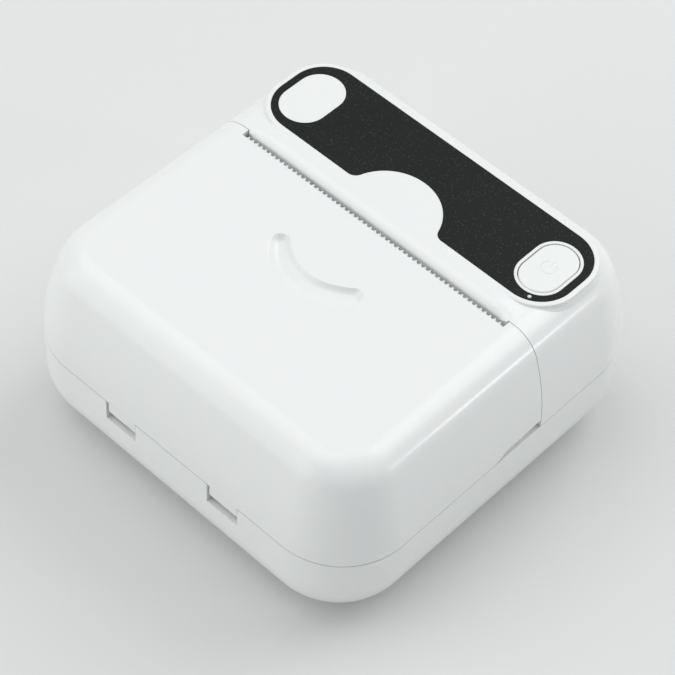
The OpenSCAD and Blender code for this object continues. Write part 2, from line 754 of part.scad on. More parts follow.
module rubber_feet() color("#4a4c4e") {
    for (p = foot_at)
        translate([p[0], p[1], 0]) cylinder(r = 3.5, h = foot_h + 0.4);
}

lower_case();
rear_housing();
overlay_panel();
status_light_pipe();
power_button();
lid_cover();
tear_strip();
lid_inner_frame();
lid_screws();
platen_bushings();
platen_roller();
platen_shaft();
platen_gear();
idler_gear();
idler_axle();
motor_pinion();
motor_shaft();
stepper_motor();
mechanism_frame();
frame_screws();
print_head();
head_heatsink();
head_springs();
ribbon_cable();
paper_bin();
paper_sensor();
main_board();
board_chips();
button_switch();
usb_socket();
battery();
hinge_pins();
case_screws();
rubber_feet();
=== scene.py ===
import json
import math

import bmesh
import bpy
from mathutils import Matrix, Vector

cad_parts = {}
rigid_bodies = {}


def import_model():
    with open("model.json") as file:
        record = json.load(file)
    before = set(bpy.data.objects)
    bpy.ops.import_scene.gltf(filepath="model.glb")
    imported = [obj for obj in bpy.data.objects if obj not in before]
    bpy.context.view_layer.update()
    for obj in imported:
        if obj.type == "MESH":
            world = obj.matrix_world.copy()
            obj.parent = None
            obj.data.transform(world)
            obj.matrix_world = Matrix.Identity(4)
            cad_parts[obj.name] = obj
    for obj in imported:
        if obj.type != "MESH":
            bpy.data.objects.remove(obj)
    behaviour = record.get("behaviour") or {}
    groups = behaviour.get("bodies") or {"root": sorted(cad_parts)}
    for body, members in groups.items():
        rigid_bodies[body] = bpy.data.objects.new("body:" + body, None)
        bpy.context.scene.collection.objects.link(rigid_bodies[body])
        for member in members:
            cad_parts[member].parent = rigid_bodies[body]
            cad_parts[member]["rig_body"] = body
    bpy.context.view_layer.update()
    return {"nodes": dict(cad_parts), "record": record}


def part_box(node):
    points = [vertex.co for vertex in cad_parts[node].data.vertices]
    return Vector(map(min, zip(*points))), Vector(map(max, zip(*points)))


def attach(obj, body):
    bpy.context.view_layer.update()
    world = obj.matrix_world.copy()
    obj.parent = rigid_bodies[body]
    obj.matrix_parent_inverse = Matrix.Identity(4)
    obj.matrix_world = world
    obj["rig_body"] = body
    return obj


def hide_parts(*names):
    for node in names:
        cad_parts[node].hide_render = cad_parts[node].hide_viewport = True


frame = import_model()
nodes = frame["nodes"]
mm = 0.001


def boxOf(node):
    # Corners of a CAD node in millimetres
    low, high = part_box(node)
    return low / mm, high / mm


# What the frame says about the case
caseLow, caseHigh = boxOf("lower_case")
lidHigh = boxOf("lid_cover")[1]
rearHigh = boxOf("rear_housing")[1]
panelLow, panelHigh = boxOf("overlay_panel")
buttonLow, buttonHigh = boxOf("power_button")

case = {
    "halfX": caseHigh.x,
    "halfY": caseHigh.y,
    "cornerR": 13.7,
    "wall": 1.8,
    "footH": caseLow.z,
    "bottomR": 9.8,
    "seamZ": 17.9,
    "browR": 6.0,
    "flankR": 46.0,
    "lean": math.asin(0.352),
    "cornerSteps": 22,
}
deckZ = lidHigh.z
topZ = panelHigh.z
rimZ = rearHigh.z
case["centreX"] = case["halfX"] - case["cornerR"]
case["centreY"] = case["halfY"] - case["cornerR"]
case["browAt"] = (
    case["cornerR"] - case["flankR"] + (case["flankR"] - case["browR"]) * math.cos(case["lean"]),
    deckZ - case["browR"],
)
case["flankAt"] = (
    case["cornerR"] - case["flankR"],
    case["browAt"][1] - (case["flankR"] - case["browR"]) * math.sin(case["lean"]),
)


# Outlines, as lists of (x, y) points

def arc(cx, cy, radius, start, end, steps):
    points = []
    for i in range(steps + 1):
        a = math.radians(start + (end - start) * i / steps)
        points.append((cx + radius * math.cos(a), cy + radius * math.sin(a)))
    return points


def circle(cx, cy, radius, steps=24):
    return arc(cx, cy, radius, 0, 360 - 360 / steps, steps - 1)


def cornerStations(halfX, low, high, steps):
    # Round four corner centres, from the front right one: each centre and its outward directions
    stations = []
    for cx, cy, start in ((halfX, low, -90), (halfX, high, 0), (-halfX, high, 90), (-halfX, low, 180)):
        for i in range(steps + 1):
            a = math.radians(start + 90 * i / steps)
            stations.append((cx, cy, math.cos(a), math.sin(a)))
    return stations


def oval(cx, cy, halfW, halfL, steps=20):
    reach = halfL - halfW
    return arc(cx, cy + reach, halfW, 0, 180, steps) + arc(cx, cy - reach, halfW, 180, 360, steps)


panel = {
    "halfX": panelHigh.x,
    "front": panelLow.y,
    "back": panelHigh.y,
    "cornerR": 6.7,
    "ovalX": 27.0,
    "ovalY": (buttonLow.y + buttonHigh.y) / 2,
    "ovalHalf": (4.5, 6.55),
    "lobeY": 11.85,
    "lobeR": 9.4,
    "filletR": 1.8,
    "thick": panelHigh.z - panelLow.z,
    "edgeR": 0.07,
}


def panelOutline(grow=0.0):
    # The black panel's edge: a rounded bar with the lobe cut into its front
    p = panel
    x1, y0, y1 = p["halfX"] + grow, p["front"] - grow, p["back"] + grow
    r = p["cornerR"] + grow
    fillet = p["filletR"]
    filletY = p["front"] + fillet
    filletX = math.sqrt((p["lobeR"] + fillet) ** 2 - (filletY - p["lobeY"]) ** 2)
    tilt = math.degrees(math.atan2(filletY - p["lobeY"], filletX))
    points = arc(-filletX, filletY, fillet + grow, 270, 360 - tilt, 10)
    points += arc(0, p["lobeY"], p["lobeR"] - grow, 180 - tilt, tilt, 40)
    points += arc(filletX, filletY, fillet + grow, 180 + tilt, 270, 10)
    points += arc(x1 - r, y0 + r, r, -90, 0, 16) + arc(x1 - r, y1 - r, r, 0, 90, 16)
    points += arc(r - x1, y1 - r, r, 90, 180, 16) + arc(r - x1, y0 + r, r, 180, 270, 16)
    return points


# Edge outlines of the case, as (distance from the corner's axis, height)

def upperEdge(inset, lowZ, flankSteps=8, browSteps=10):
    radius = case["flankR"] - inset
    fr, fz = case["flankAt"]
    start = math.degrees(math.asin((lowZ - fz) / radius))
    lean = math.degrees(case["lean"])
    points = arc(fr, fz, radius, start, lean, flankSteps)
    br, bz = case["browAt"]
    return points + arc(br, bz, case["browR"] - inset, lean, 90, browSteps)[1:]


def lowerEdge(inset, highZ, steps=14):
    r = case["cornerR"] - inset
    bottomR = case["bottomR"]
    points = [(r, highZ)]
    return points + arc(case["cornerR"] - bottomR, case["footH"] + bottomR, bottomR - inset, 0, -90, steps)


def shellTop(x, y):
    # Height of the upper case's outer face over a point of its plan
    dx, dy = abs(x) - case["centreX"], abs(y) - case["centreY"]
    r = math.hypot(dx, dy) if dx > 0 and dy > 0 else max(dx, dy)
    br, bz = case["browAt"]
    fr, fz = case["flankAt"]
    joinR = br + case["browR"] * math.cos(case["lean"])
    if r <= br:
        return deckZ
    if r <= joinR:
        return bz + math.sqrt(max(case["browR"] ** 2 - (r - br) ** 2, 0))
    return fz + math.sqrt(max(case["flankR"] ** 2 - (r - fr) ** 2, 0))


def stationPath(startY, side):
    # Stations round half of the plan, each an axis point and an outward direction.
    # A side of -1 runs round the front, 1 round the back.
    cx, cy = case["centreX"], case["centreY"] * side
    steps = case["cornerSteps"]
    path = [(cx, startY + (cy - startY) * t, 0) for t in (0, 0.25, 0.5, 0.75)]
    path += [(cx, cy, side * 90 * i / steps) for i in range(steps + 1)]
    path += [(cx * (1 - 2 * t), cy, side * 90) for t in (0.25, 0.5, 0.75)]
    path += [(-cx, cy, side * (90 + 90 * i / steps)) for i in range(steps + 1)]
    path += [(-cx, cy + (startY - cy) * t, side * 180) for t in (0.25, 0.5, 0.75, 1)]
    return [(x, y, math.cos(math.radians(a)), math.sin(math.radians(a))) for x, y, a in path]


# Mesh helpers

def makeObject(name, verts, faces):
    mesh = bpy.data.meshes.new(name)
    mesh.from_pydata([Vector(v) * mm for v in verts], [], faces)
    bm = bmesh.new()
    bm.from_mesh(mesh)
    bmesh.ops.remove_doubles(bm, verts=bm.verts, dist=1e-6)
    bmesh.ops.recalc_face_normals(bm, faces=bm.faces)
    bm.to_mesh(mesh)
    bm.free()
    made = bpy.data.objects.new(name, mesh)
    bpy.context.scene.collection.objects.link(made)
    return made


def sweepShell(name, path, outer, inner, closed):
    # A thin shell: two edge outlines swept along the stations. A rim joins their first points, and a flat
    # face closes each of them at its last points. An open shell also gets a flat wall across its ends.
    verts, faces = [], []
    count = len(path)
    for edge in (outer, inner):
        for ax, ay, dx, dy in path:
            verts += [(ax + r * dx, ay + r * dy, z) for r, z in edge]
    base = count * len(outer)
    spans = range(count) if closed else range(count - 1)

    def outerAt(i, j):
        return (i % count) * len(outer) + j

    def innerAt(i, j):
        return base + (i % count) * len(inner) + j

    for i in spans:
        for j in range(len(outer) - 1):
            faces.append((outerAt(i, j), outerAt(i + 1, j), outerAt(i + 1, j + 1), outerAt(i, j + 1)))
        for j in range(len(inner) - 1):
            faces.append((innerAt(i, j + 1), innerAt(i + 1, j + 1), innerAt(i + 1, j), innerAt(i, j)))
        faces.append((innerAt(i, 0), innerAt(i + 1, 0), outerAt(i + 1, 0), outerAt(i, 0)))
    faces.append([outerAt(i, len(outer) - 1) for i in range(count)])
    faces.append([innerAt(i, len(inner) - 1) for i in reversed(range(count))])
    if not closed:
        last = count - 1
        ring = [outerAt(0, j) for j in range(len(outer))]
        ring += [outerAt(last, j) for j in reversed(range(len(outer)))]
        ring += [innerAt(last, j) for j in range(len(inner))]
        ring += [innerAt(0, j) for j in reversed(range(len(inner)))]
        faces.append(ring)
    return makeObject(name, verts, faces)


def loft(name, rings):
    # A closed solid through rings of equal length, with flat ends
    size = len(rings[0])
    verts = [p for ring in rings for p in ring]
    faces = [tuple(range(size)), tuple(reversed(range((len(rings) - 1) * size, len(rings) * size)))]
    for k in range(len(rings) - 1):
        for i in range(size):
            a, b = k * size + i, k * size + (i + 1) % size
            faces.append((a, b, b + size, a + size))
    return makeObject(name, verts, faces)


def prism(name, outline, z0, z1):
    return loft(name, [[(x, y, z0) for x, y in outline], [(x, y, z1) for x, y in outline]])


def prismX(name, outline, x0, x1):
    return loft(name, [[(x0, y, z) for y, z in outline], [(x1, y, z) for y, z in outline]])


def prismY(name, outline, y0, y1):
    return loft(name, [[(x, y0, z) for x, z in outline], [(x, y1, z) for x, z in outline]])


def block(name, low, high):
    outline = [(low[0], low[1]), (high[0], low[1]), (high[0], high[1]), (low[0], high[1])]
    return prism(name, outline, low[2], high[2])


def rod(name, centre, radius, start, end, axis="X", steps=32):
    outline = circle(*centre, radius, steps)
    maker = {"X": prismX, "Z": prism}[axis]
    return maker(name, outline, start, end)


def rodsAt(name, places, radius, low, high, steps=32):
    # Upright rods on a list of places
    return [rod(name, place, radius, low, high, "Z", steps) for place in places]


def applied(obj):
    # Turns the evaluated object into a plain mesh and removes its modifiers
    graph = bpy.context.evaluated_depsgraph_get()
    mesh = bpy.data.meshes.new_from_object(obj.evaluated_get(graph))
    obj.modifiers.clear()
    obj.data = mesh
    return obj


def combine(obj, tools, how):
    # Cuts tools out of a solid, or joins them to it, and removes them
    for tool in tools:
        change = obj.modifiers.new("Shape", "BOOLEAN")
        change.operation = how
        change.solver = "MANIFOLD"
        change.object = tool
    applied(obj)
    for tool in tools:
        bpy.data.objects.remove(tool)
    return obj


cleaning = {"merge": 0.004, "flatAngle": 0.4, "sharpAngle": 32}


def softenEdges(obj, width, steps=3):
    # Cleans flat faces, rounds sharp edges by width in millimetres and keeps flat faces flat in shading.
    # With no width, sharp edges are only marked.
    angle, merge = cleaning["sharpAngle"], cleaning["merge"] * mm
    bm = bmesh.new()
    bm.from_mesh(obj.data)
    bmesh.ops.remove_doubles(bm, verts=bm.verts, dist=merge)
    flat = math.radians(cleaning["flatAngle"])
    bmesh.ops.dissolve_limit(bm, angle_limit=flat, verts=bm.verts, edges=bm.edges)
    bmesh.ops.dissolve_degenerate(bm, edges=bm.edges, dist=merge)
    if not width:
        for edge in bm.edges:
            edge.smooth = edge.calc_face_angle(0) < math.radians(angle)
    bm.to_mesh(obj.data)
    bm.free()
    for face in obj.data.polygons:
        face.use_smooth = True
    if width:
        bevel = obj.modifiers.new("Rounded", "BEVEL")
        bevel.width = width * mm
        bevel.segments = steps
        bevel.limit_method = "ANGLE"
        bevel.angle_limit = math.radians(angle)
        bevel.miter_outer = "MITER_ARC"
        bevel.use_clamp_overlap = True
    weighted = obj.modifiers.new("Flat", "WEIGHTED_NORMAL")
    weighted.weight = 100
    weighted.keep_sharp = True
    return applied(obj)


def paint(obj, material):
    obj.data.materials.clear()
    obj.data.materials.append(material)


def finishPiece(obj, body, slotName, *replaced):
    # Gives a piece the material named by its slot, puts it on its body, and hides the CAD nodes that it
    # replaces
    paint(obj, materials[slotName])
    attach(obj, body)
    if replaced:
        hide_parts(*replaced)


# Materials

def newGroup(name, inputs, outputs):
    tree = bpy.data.node_groups.new(name, "ShaderNodeTree")
    for label, value in inputs.items():
        socket = tree.interface.new_socket(label, in_out="INPUT", socket_type="NodeSocketFloat")
        socket.default_value = value
    for label in outputs:
        tree.interface.new_socket(label, in_out="OUTPUT", socket_type="NodeSocketFloat")
    return tree, tree.nodes.new("NodeGroupInput"), tree.nodes.new("NodeGroupOutput")


def addNode(tree, kind, values=None, operation=None):
    node = tree.nodes.new(kind)
    if operation:
        node.operation = operation
    for label, value in (values or {}).items():
        node.inputs[label].default_value = value
    return node


def connect(tree, *wires):
    # Each wire is a node, its output, another node and its input
    for source, output, target, socket in wires:
        tree.links.new(source.outputs[output], target.inputs[socket])


def makeMouldGrain():
    # Soft patches for an uneven sheen, and the fine grain of a moulded surface
    tree, start, end = newGroup("mouldGrain", {"Grain Scale": 2500, "Patch Scale": 60}, ["Patches", "Grain"])
    place = addNode(tree, "ShaderNodeTexCoord")
    patches = addNode(tree, "ShaderNodeTexNoise", {"Detail": 4, "Roughness": 0.6})
    grain = addNode(tree, "ShaderNodeTexNoise", {"Detail": 2})
    connect(tree,
            (place, "Object", patches, "Vector"), (place, "Object", grain, "Vector"),
            (start, "Patch Scale", patches, "Scale"), (start, "Grain Scale", grain, "Scale"),
            (patches, "Fac", end, "Patches"), (grain, "Fac", end, "Grain"))
    return tree


def makeSpecks():
    # Sparse round specks: the cells whose random shade is below Share get a dot of the given Size
    tree, start, end = newGroup("specks", {"Scale": 1400, "Size": 0.16, "Share": 0.3}, ["Mask"])
    place = addNode(tree, "ShaderNodeTexCoord")
    cells = addNode(tree, "ShaderNodeTexVoronoi")
    near = addNode(tree, "ShaderNodeMath", operation="LESS_THAN")
    chosen = addNode(tree, "ShaderNodeMath", operation="LESS_THAN")
    split = addNode(tree, "ShaderNodeSeparateColor")
    both = addNode(tree, "ShaderNodeMath", operation="MULTIPLY")
    connect(tree,
            (place, "Object", cells, "Vector"), (start, "Scale", cells, "Scale"),
            (cells, "Distance", near, 0), (start, "Size", near, 1),
            (cells, "Color", split, "Color"), (split, "Red", chosen, 0), (start, "Share", chosen, 1),
            (near, 0, both, 0), (chosen, 0, both, 1), (both, 0, end, "Mask"))
    return tree


def makeBrushLines():
    # Noise stretched along X; a Stretch of 1 leaves it even
    tree, start, end = newGroup("brushLines", {"Scale": 900, "Stretch": 0.02}, ["Lines"])
    place = addNode(tree, "ShaderNodeTexCoord")
    stretch = addNode(tree, "ShaderNodeCombineXYZ", {"Y": 1, "Z": 1})
    scaled = addNode(tree, "ShaderNodeVectorMath", operation="MULTIPLY")
    lines = addNode(tree, "ShaderNodeTexNoise", {"Detail": 3})
    connect(tree,
            (start, "Stretch", stretch, "X"), (place, "Object", scaled, 0), (stretch, "Vector", scaled, 1),
            (scaled, "Vector", lines, "Vector"), (start, "Scale", lines, "Scale"),
            (lines, "Fac", end, "Lines"))
    return tree


mouldGrain = makeMouldGrain()
specks = makeSpecks()
brushLines = makeBrushLines()


def startMaterial(name, looks):
    material = bpy.data.materials.new(name)
    material.use_nodes = True
    tree = material.node_tree
    shader = tree.nodes["Principled BSDF"]
    shader.inputs["IOR"].default_value = 1.5
    shader.inputs["Specular IOR Level"].default_value = looks.get("shine", 0.5)
    shader.inputs["Metallic"].default_value = looks.get("metal", 0)
    shader.inputs["Coat Weight"].default_value = looks.get("coat", 0)
    shader.inputs["Coat Roughness"].default_value = looks.get("coatRough", 0.1)
    shader.inputs["Subsurface Weight"].default_value = looks.get("inner", 0)
    shader.inputs["Subsurface Scale"].default_value = 0.001
    return material, tree, shader


def placeGroup(tree, group, values):
    node = tree.nodes.new("ShaderNodeGroup")
    node.node_tree = group
    for label, value in values.items():
        node.inputs[label].default_value = value
    return node


def mixColours(tree, mask, first, second, low=0.0, high=1.0):
    # Blends two colours by a mask that is spread from low..high to 0..1
    spread = addNode(tree, "ShaderNodeMapRange", {"From Min": low, "From Max": high})
    mix = tree.nodes.new("ShaderNodeMix")
    mix.data_type = "RGBA"
    tree.links.new(mask, spread.inputs["Value"])
    tree.links.new(spread.outputs["Result"], mix.inputs["Factor"])
    for socket, colour in (("A", first), ("B", second)):
        at = next(i for i in mix.inputs if i.name == socket and i.type == "RGBA")
        if isinstance(colour, tuple):
            at.default_value = (*colour, 1)
        else:
            tree.links.new(colour, at)
    return next(o for o in mix.outputs if o.type == "RGBA")


def spreadTo(tree, mask, socket, low, high):
    # Spreads the middle of a noise mask to low..high
    values = {"From Min": 0.3, "From Max": 0.7, "To Min": low, "To Max": high}
    spread = addNode(tree, "ShaderNodeMapRange", values)
    tree.links.new(mask, spread.inputs["Value"])
    tree.links.new(spread.outputs["Result"], socket)


def addBump(tree, shader, height, strength, distance):
    bump = addNode(tree, "ShaderNodeBump", {"Strength": strength, "Distance": distance})
    tree.links.new(height, bump.inputs["Height"])
    tree.links.new(bump.outputs["Normal"], shader.inputs["Normal"])


relief = {"grain": 0.00002, "lines": 0.00001}   # bump distances in metres


def placeGrain(tree, looks):
    values = {"Grain Scale": looks["grainScale"], "Patch Scale": looks["patchScale"]}
    return placeGroup(tree, mouldGrain, values)


def mouldedPlastic(name, looks):
    # Plastic, rubber or lacquer: two near shades in patches, uneven roughness and a fine grain
    material, tree, shader = startMaterial(name, looks)
    grain = placeGrain(tree, looks)
    colour = mixColours(tree, grain.outputs["Patches"], looks["colour"], looks["shade"], 0.35, 0.75)
    if "specks" in looks:
        dots = placeGroup(tree, specks, looks["specks"])
        colour = mixColours(tree, dots.outputs["Mask"], colour, looks["speckColour"])
    tree.links.new(colour, shader.inputs["Base Color"])
    spreadTo(tree, grain.outputs["Patches"], shader.inputs["Roughness"], *looks["rough"])
    addBump(tree, shader, grain.outputs["Grain"], looks["bump"], relief["grain"])
    return material


def workedMetal(name, looks):
    # Metal with drawn lines in its roughness and height, and a patchy tint
    material, tree, shader = startMaterial(name, {**looks, "metal": 1})
    grain = placeGrain(tree, looks)
    lines = placeGroup(tree, brushLines, {"Scale": looks["lineScale"], "Stretch": looks["stretch"]})
    colour = mixColours(tree, grain.outputs["Patches"], looks["colour"], looks["shade"], 0.35, 0.7)
    tree.links.new(colour, shader.inputs["Base Color"])
    spreadTo(tree, lines.outputs["Lines"], shader.inputs["Roughness"], *looks["rough"])
    addBump(tree, shader, lines.outputs["Lines"], looks["bump"], relief["lines"])
    return material


plastics = {
    "white_shell": {"colour": (0.83, 0.845, 0.825), "shade": (0.818, 0.832, 0.81), "rough": (0.285, 0.34),
                    "coat": 0.25, "coatRough": 0.12, "inner": 0.06, "grainScale": 3200, "patchScale": 30,
                    "bump": 0.04},
    "white_inner": {"colour": (0.76, 0.775, 0.755), "shade": (0.7, 0.715, 0.69), "rough": (0.42, 0.55),
                    "grainScale": 2600, "patchScale": 70, "bump": 0.12},
    "black_panel": {"colour": (0.007, 0.008, 0.007), "shade": (0.01, 0.011, 0.01), "rough": (0.52, 0.64),
                    "shine": 0.2, "grainScale": 2200, "patchScale": 90, "bump": 0.25,
                    "specks": {"Scale": 3300, "Size": 0.27, "Share": 0.24},
                    "speckColour": (0.06, 0.063, 0.056)},
    "black_plastic": {"colour": (0.026, 0.026, 0.028), "shade": (0.04, 0.04, 0.043), "rough": (0.45, 0.62),
                      "grainScale": 2600, "patchScale": 120, "bump": 0.25},
    "clear_light": {"colour": (0.7, 0.73, 0.72), "shade": (0.62, 0.65, 0.64), "rough": (0.28, 0.34),
                    "grainScale": 4000, "patchScale": 400, "bump": 0.05},
    "nylon": {"colour": (0.82, 0.81, 0.75), "shade": (0.76, 0.74, 0.66), "rough": (0.38, 0.5), "inner": 0.1,
              "grainScale": 3000, "patchScale": 200, "bump": 0.12},
    "roller_rubber": {"colour": (0.035, 0.036, 0.039), "shade": (0.055, 0.056, 0.06), "rough": (0.62, 0.8),
                      "grainScale": 3500, "patchScale": 150, "bump": 0.5},
    "foot_rubber": {"colour": (0.05, 0.05, 0.053), "shade": (0.075, 0.075, 0.08), "rough": (0.7, 0.85),
                    "grainScale": 2000, "patchScale": 250, "bump": 0.5},
    "ceramic": {"colour": (0.2, 0.155, 0.12), "shade": (0.26, 0.21, 0.17), "rough": (0.12, 0.2), "coat": 0.6,
                "grainScale": 2500, "patchScale": 120, "bump": 0.06},
    "flex_cable": {"colour": (0.5, 0.24, 0.055), "shade": (0.42, 0.18, 0.035), "rough": (0.28, 0.42),
                   "grainScale": 2500, "patchScale": 300, "bump": 0.1},
    "board_green": {"colour": (0.02, 0.11, 0.045), "shade": (0.03, 0.145, 0.06), "rough": (0.28, 0.4),
                    "grainScale": 1800, "patchScale": 260, "bump": 0.2,
                    "specks": {"Scale": 620, "Size": 0.22, "Share": 0.22}, "speckColour": (0.55, 0.5, 0.36)},
    "battery_foil": {"colour": (0.4, 0.43, 0.46), "shade": (0.34, 0.365, 0.39), "rough": (0.3, 0.45),
                     "metal": 0.55, "grainScale": 900, "patchScale": 140, "bump": 0.6},
}
metals = {
    "steel": {"colour": (0.6, 0.61, 0.62), "shade": (0.5, 0.51, 0.52), "rough": (0.28, 0.4),
              "grainScale": 2000, "patchScale": 300, "lineScale": 1500, "stretch": 0.05, "bump": 0.15},
    "zinc_plate": {"colour": (0.6, 0.61, 0.6), "shade": (0.47, 0.485, 0.49), "rough": (0.32, 0.48),
                   "grainScale": 900, "patchScale": 420, "lineScale": 700, "stretch": 1.0, "bump": 0.12},
    "motor_can": {"colour": (0.5, 0.51, 0.52), "shade": (0.42, 0.43, 0.44), "rough": (0.28, 0.42),
                  "grainScale": 1200, "patchScale": 200, "lineScale": 1200, "stretch": 1.0, "bump": 0.1},
    "aluminium": {"colour": (0.74, 0.75, 0.76), "shade": (0.66, 0.67, 0.68), "rough": (0.28, 0.4),
                  "grainScale": 1500, "patchScale": 200, "lineScale": 1500, "stretch": 0.02, "bump": 0.2},
    "brass": {"colour": (0.7, 0.5, 0.2), "shade": (0.6, 0.41, 0.15), "rough": (0.28, 0.38),
              "grainScale": 2000, "patchScale": 400, "lineScale": 1600, "stretch": 1.0, "bump": 0.1},
}
materials = {name: mouldedPlastic(name, looks) for name, looks in plastics.items()}
materials.update({name: workedMetal(name, looks) for name, looks in metals.items()})
for part in frame["record"]["subparts"]:
    paint(nodes[part["node"]], materials[part["material_slot"]])
print("materials made:", len(materials))


# Camera, light and table

cameraView = {
    "place": (0.17275, -0.20192, 0.34458),
    "yaw": 40.36,
    "pitch": 51.134,
    "roll": 4.044,
    "lens": 131.355,
}


def addCamera():
    yaw, pitch, roll = (math.radians(cameraView[k]) for k in ("yaw", "pitch", "roll"))
    back = Vector((math.sin(yaw) * math.cos(pitch), -math.cos(yaw) * math.cos(pitch), math.sin(pitch)))
    side = (-back).cross(Vector((0, 0, 1))).normalized()
    up = side.cross(-back)
    right = math.cos(roll) * side + math.sin(roll) * up
    top = math.cos(roll) * up - math.sin(roll) * side
    data = bpy.data.cameras.new("camera")
    data.lens = cameraView["lens"]
    data.sensor_width = 36
    data.sensor_fit = "HORIZONTAL"
    data.clip_start = 0.01
    camera = bpy.data.objects.new("camera", data)
    turn = Matrix((right, top, back)).transposed().to_4x4()
    camera.matrix_world = Matrix.Translation(cameraView["place"]) @ turn
    bpy.context.scene.collection.objects.link(camera)
    bpy.context.scene.camera = camera


lamps = {
    "ceilingLight": {"toLamp": (-0.38, -0.12, 0.91), "size": 0.8, "power": 2.2},
    "windowLight": {"toLamp": (0.15, 0.68, 0.72), "size": 0.8, "power": 3.6},
    "frontFill": {"toLamp": (-0.5, -0.8, 0.35), "size": 1.0, "power": 2.8},
    "edgeLight": {"toLamp": (0.84, 0.49, 0.24), "size": 0.11, "power": 0.5},
}


def addLamp(name, toLamp, size, power, distance=0.9):
    data = bpy.data.lights.new(name, "AREA")
    data.shape = "DISK"
    data.size = size
    data.energy = power
    lamp = bpy.data.objects.new(name, data)
    direction = Vector(toLamp).normalized()
    lamp.location = direction * distance
    lamp.rotation_euler = direction.to_track_quat("Z", "Y").to_euler()
    bpy.context.scene.collection.objects.link(lamp)


room = {
    "tableHalf": 3.0,
    "tableColour": (0.72, 0.72, 0.71, 1),
    "tableRough": 0.75,
    "skyColour": (0.93, 0.96, 1.0, 1),
    "skyStrength": 0.49,
}


def addTable():
    half = room["tableHalf"]
    corners = [(x * half / mm, y * half / mm, 0) for x, y in ((-1, -1), (1, -1), (1, 1), (-1, 1))]
    table = makeObject("table", corners, [(0, 1, 2, 3)])
    surface, _, shader = startMaterial("tableTop", {})
    shader.inputs["Base Color"].default_value = room["tableColour"]
    shader.inputs["Roughness"].default_value = room["tableRough"]
    paint(table, surface)


def addWorld():
    world = bpy.data.worlds.new("room")
    world.use_nodes = True
    sky = world.node_tree.nodes["Background"]
    sky.inputs["Color"].default_value = room["skyColour"]
    sky.inputs["Strength"].default_value = room["skyStrength"]
    bpy.context.scene.world = world


addCamera()
addWorld()
addTable()
for lampName, settings in lamps.items():
    addLamp(lampName, **settings)
bpy.context.scene.view_settings.view_transform = "Standard"
print("camera, lamps and table placed")


# Lower case

lowerCase = {
    "windowX": 11.9,
    "windowW": 7.0,
    "windowH": 4.6,
    "windowDepth": 4.2,
    "lipT": 0.9,
    "lipAbove": 0.8,
    "lipBite": 0.3,          # how far the lip's foot sits in the wall
    "lipPlay": 0.2,          # room between the lip and the upper shells
    "notchBackH": 1.7,
    "notchBackL": 12,
    "notchBackPlay": 0.25,
    "bossW": 3.6,
    "bossDepth": 3.6,
    "frameFeet": [(-28.3, 7.0), (28.3, 7.0), (-28.3, 21.2), (28.3, 21.2)],
    "frontScrews": [(-12.0, -27.0), (12.0, -27.0)],
    "rearScrews": [(-27.5, 30.4), (27.5, 30.4)],
    "padAt": [(-24.0, -23.0), (24.0, -23.0), (-24.0, 20.0), (24.0, 20.0)],
    "padR": 3.6,
    "padDepth": 0.4,
    "screwHeadR": 2.1,
    "screwSeat": 2.5,
    "screwHoleR": 1.1,
    "screwHoleTop": 8.6,
    "frameHoleR": 0.9,
    "frameHoleZ": (7.6, 15.6),
    "postR": 2.2,
    "postTop": 14.59,
    "edgeR": 0.12,
}
splitY = 9.0
splitGap = 0.14
rearY = splitY - splitGap / 2
houseY = splitY + splitGap / 2
seamGap = 0.2
seamHigh = case["seamZ"] + seamGap / 2
hingeY, hingeZ = -case["halfY"] + 1.3, case["seamZ"] - 2.5
skinZ = deckZ - case["wall"]
floorZ = case["footH"] + case["wall"]
windows = (-lowerCase["windowX"], lowerCase["windowX"])


def planInset(inset):
    # The case's rounded plan, moved inwards
    radius = case["cornerR"] - inset
    halfX, halfY = case["halfX"] - inset - radius, case["halfY"] - inset - radius
    stations = cornerStations(halfX, -halfY, halfY, case["cornerSteps"])
    return [(x + radius * dx, y + radius * dy) for x, y, dx, dy in stations]


def closedPath():
    return cornerStations(case["centreX"], -case["centreY"], case["centreY"], case["cornerSteps"])


def makeSeamLip(top):
    # The thin lip inside the wall, which rises behind the upper shells
    s, wall, seamZ = lowerCase, case["wall"], case["seamZ"]
    lip = prism("lip", planInset(wall - s["lipBite"]), seamZ - 3, top - 0.01)
    upper = prism("upperLip", planInset(wall + s["lipPlay"]), top - 0.5, seamZ + s["lipAbove"])
    combine(lip, [upper], "UNION")
    return combine(lip, [prism("inside", planInset(wall + s["lipT"]), 5, 25)], "DIFFERENCE")


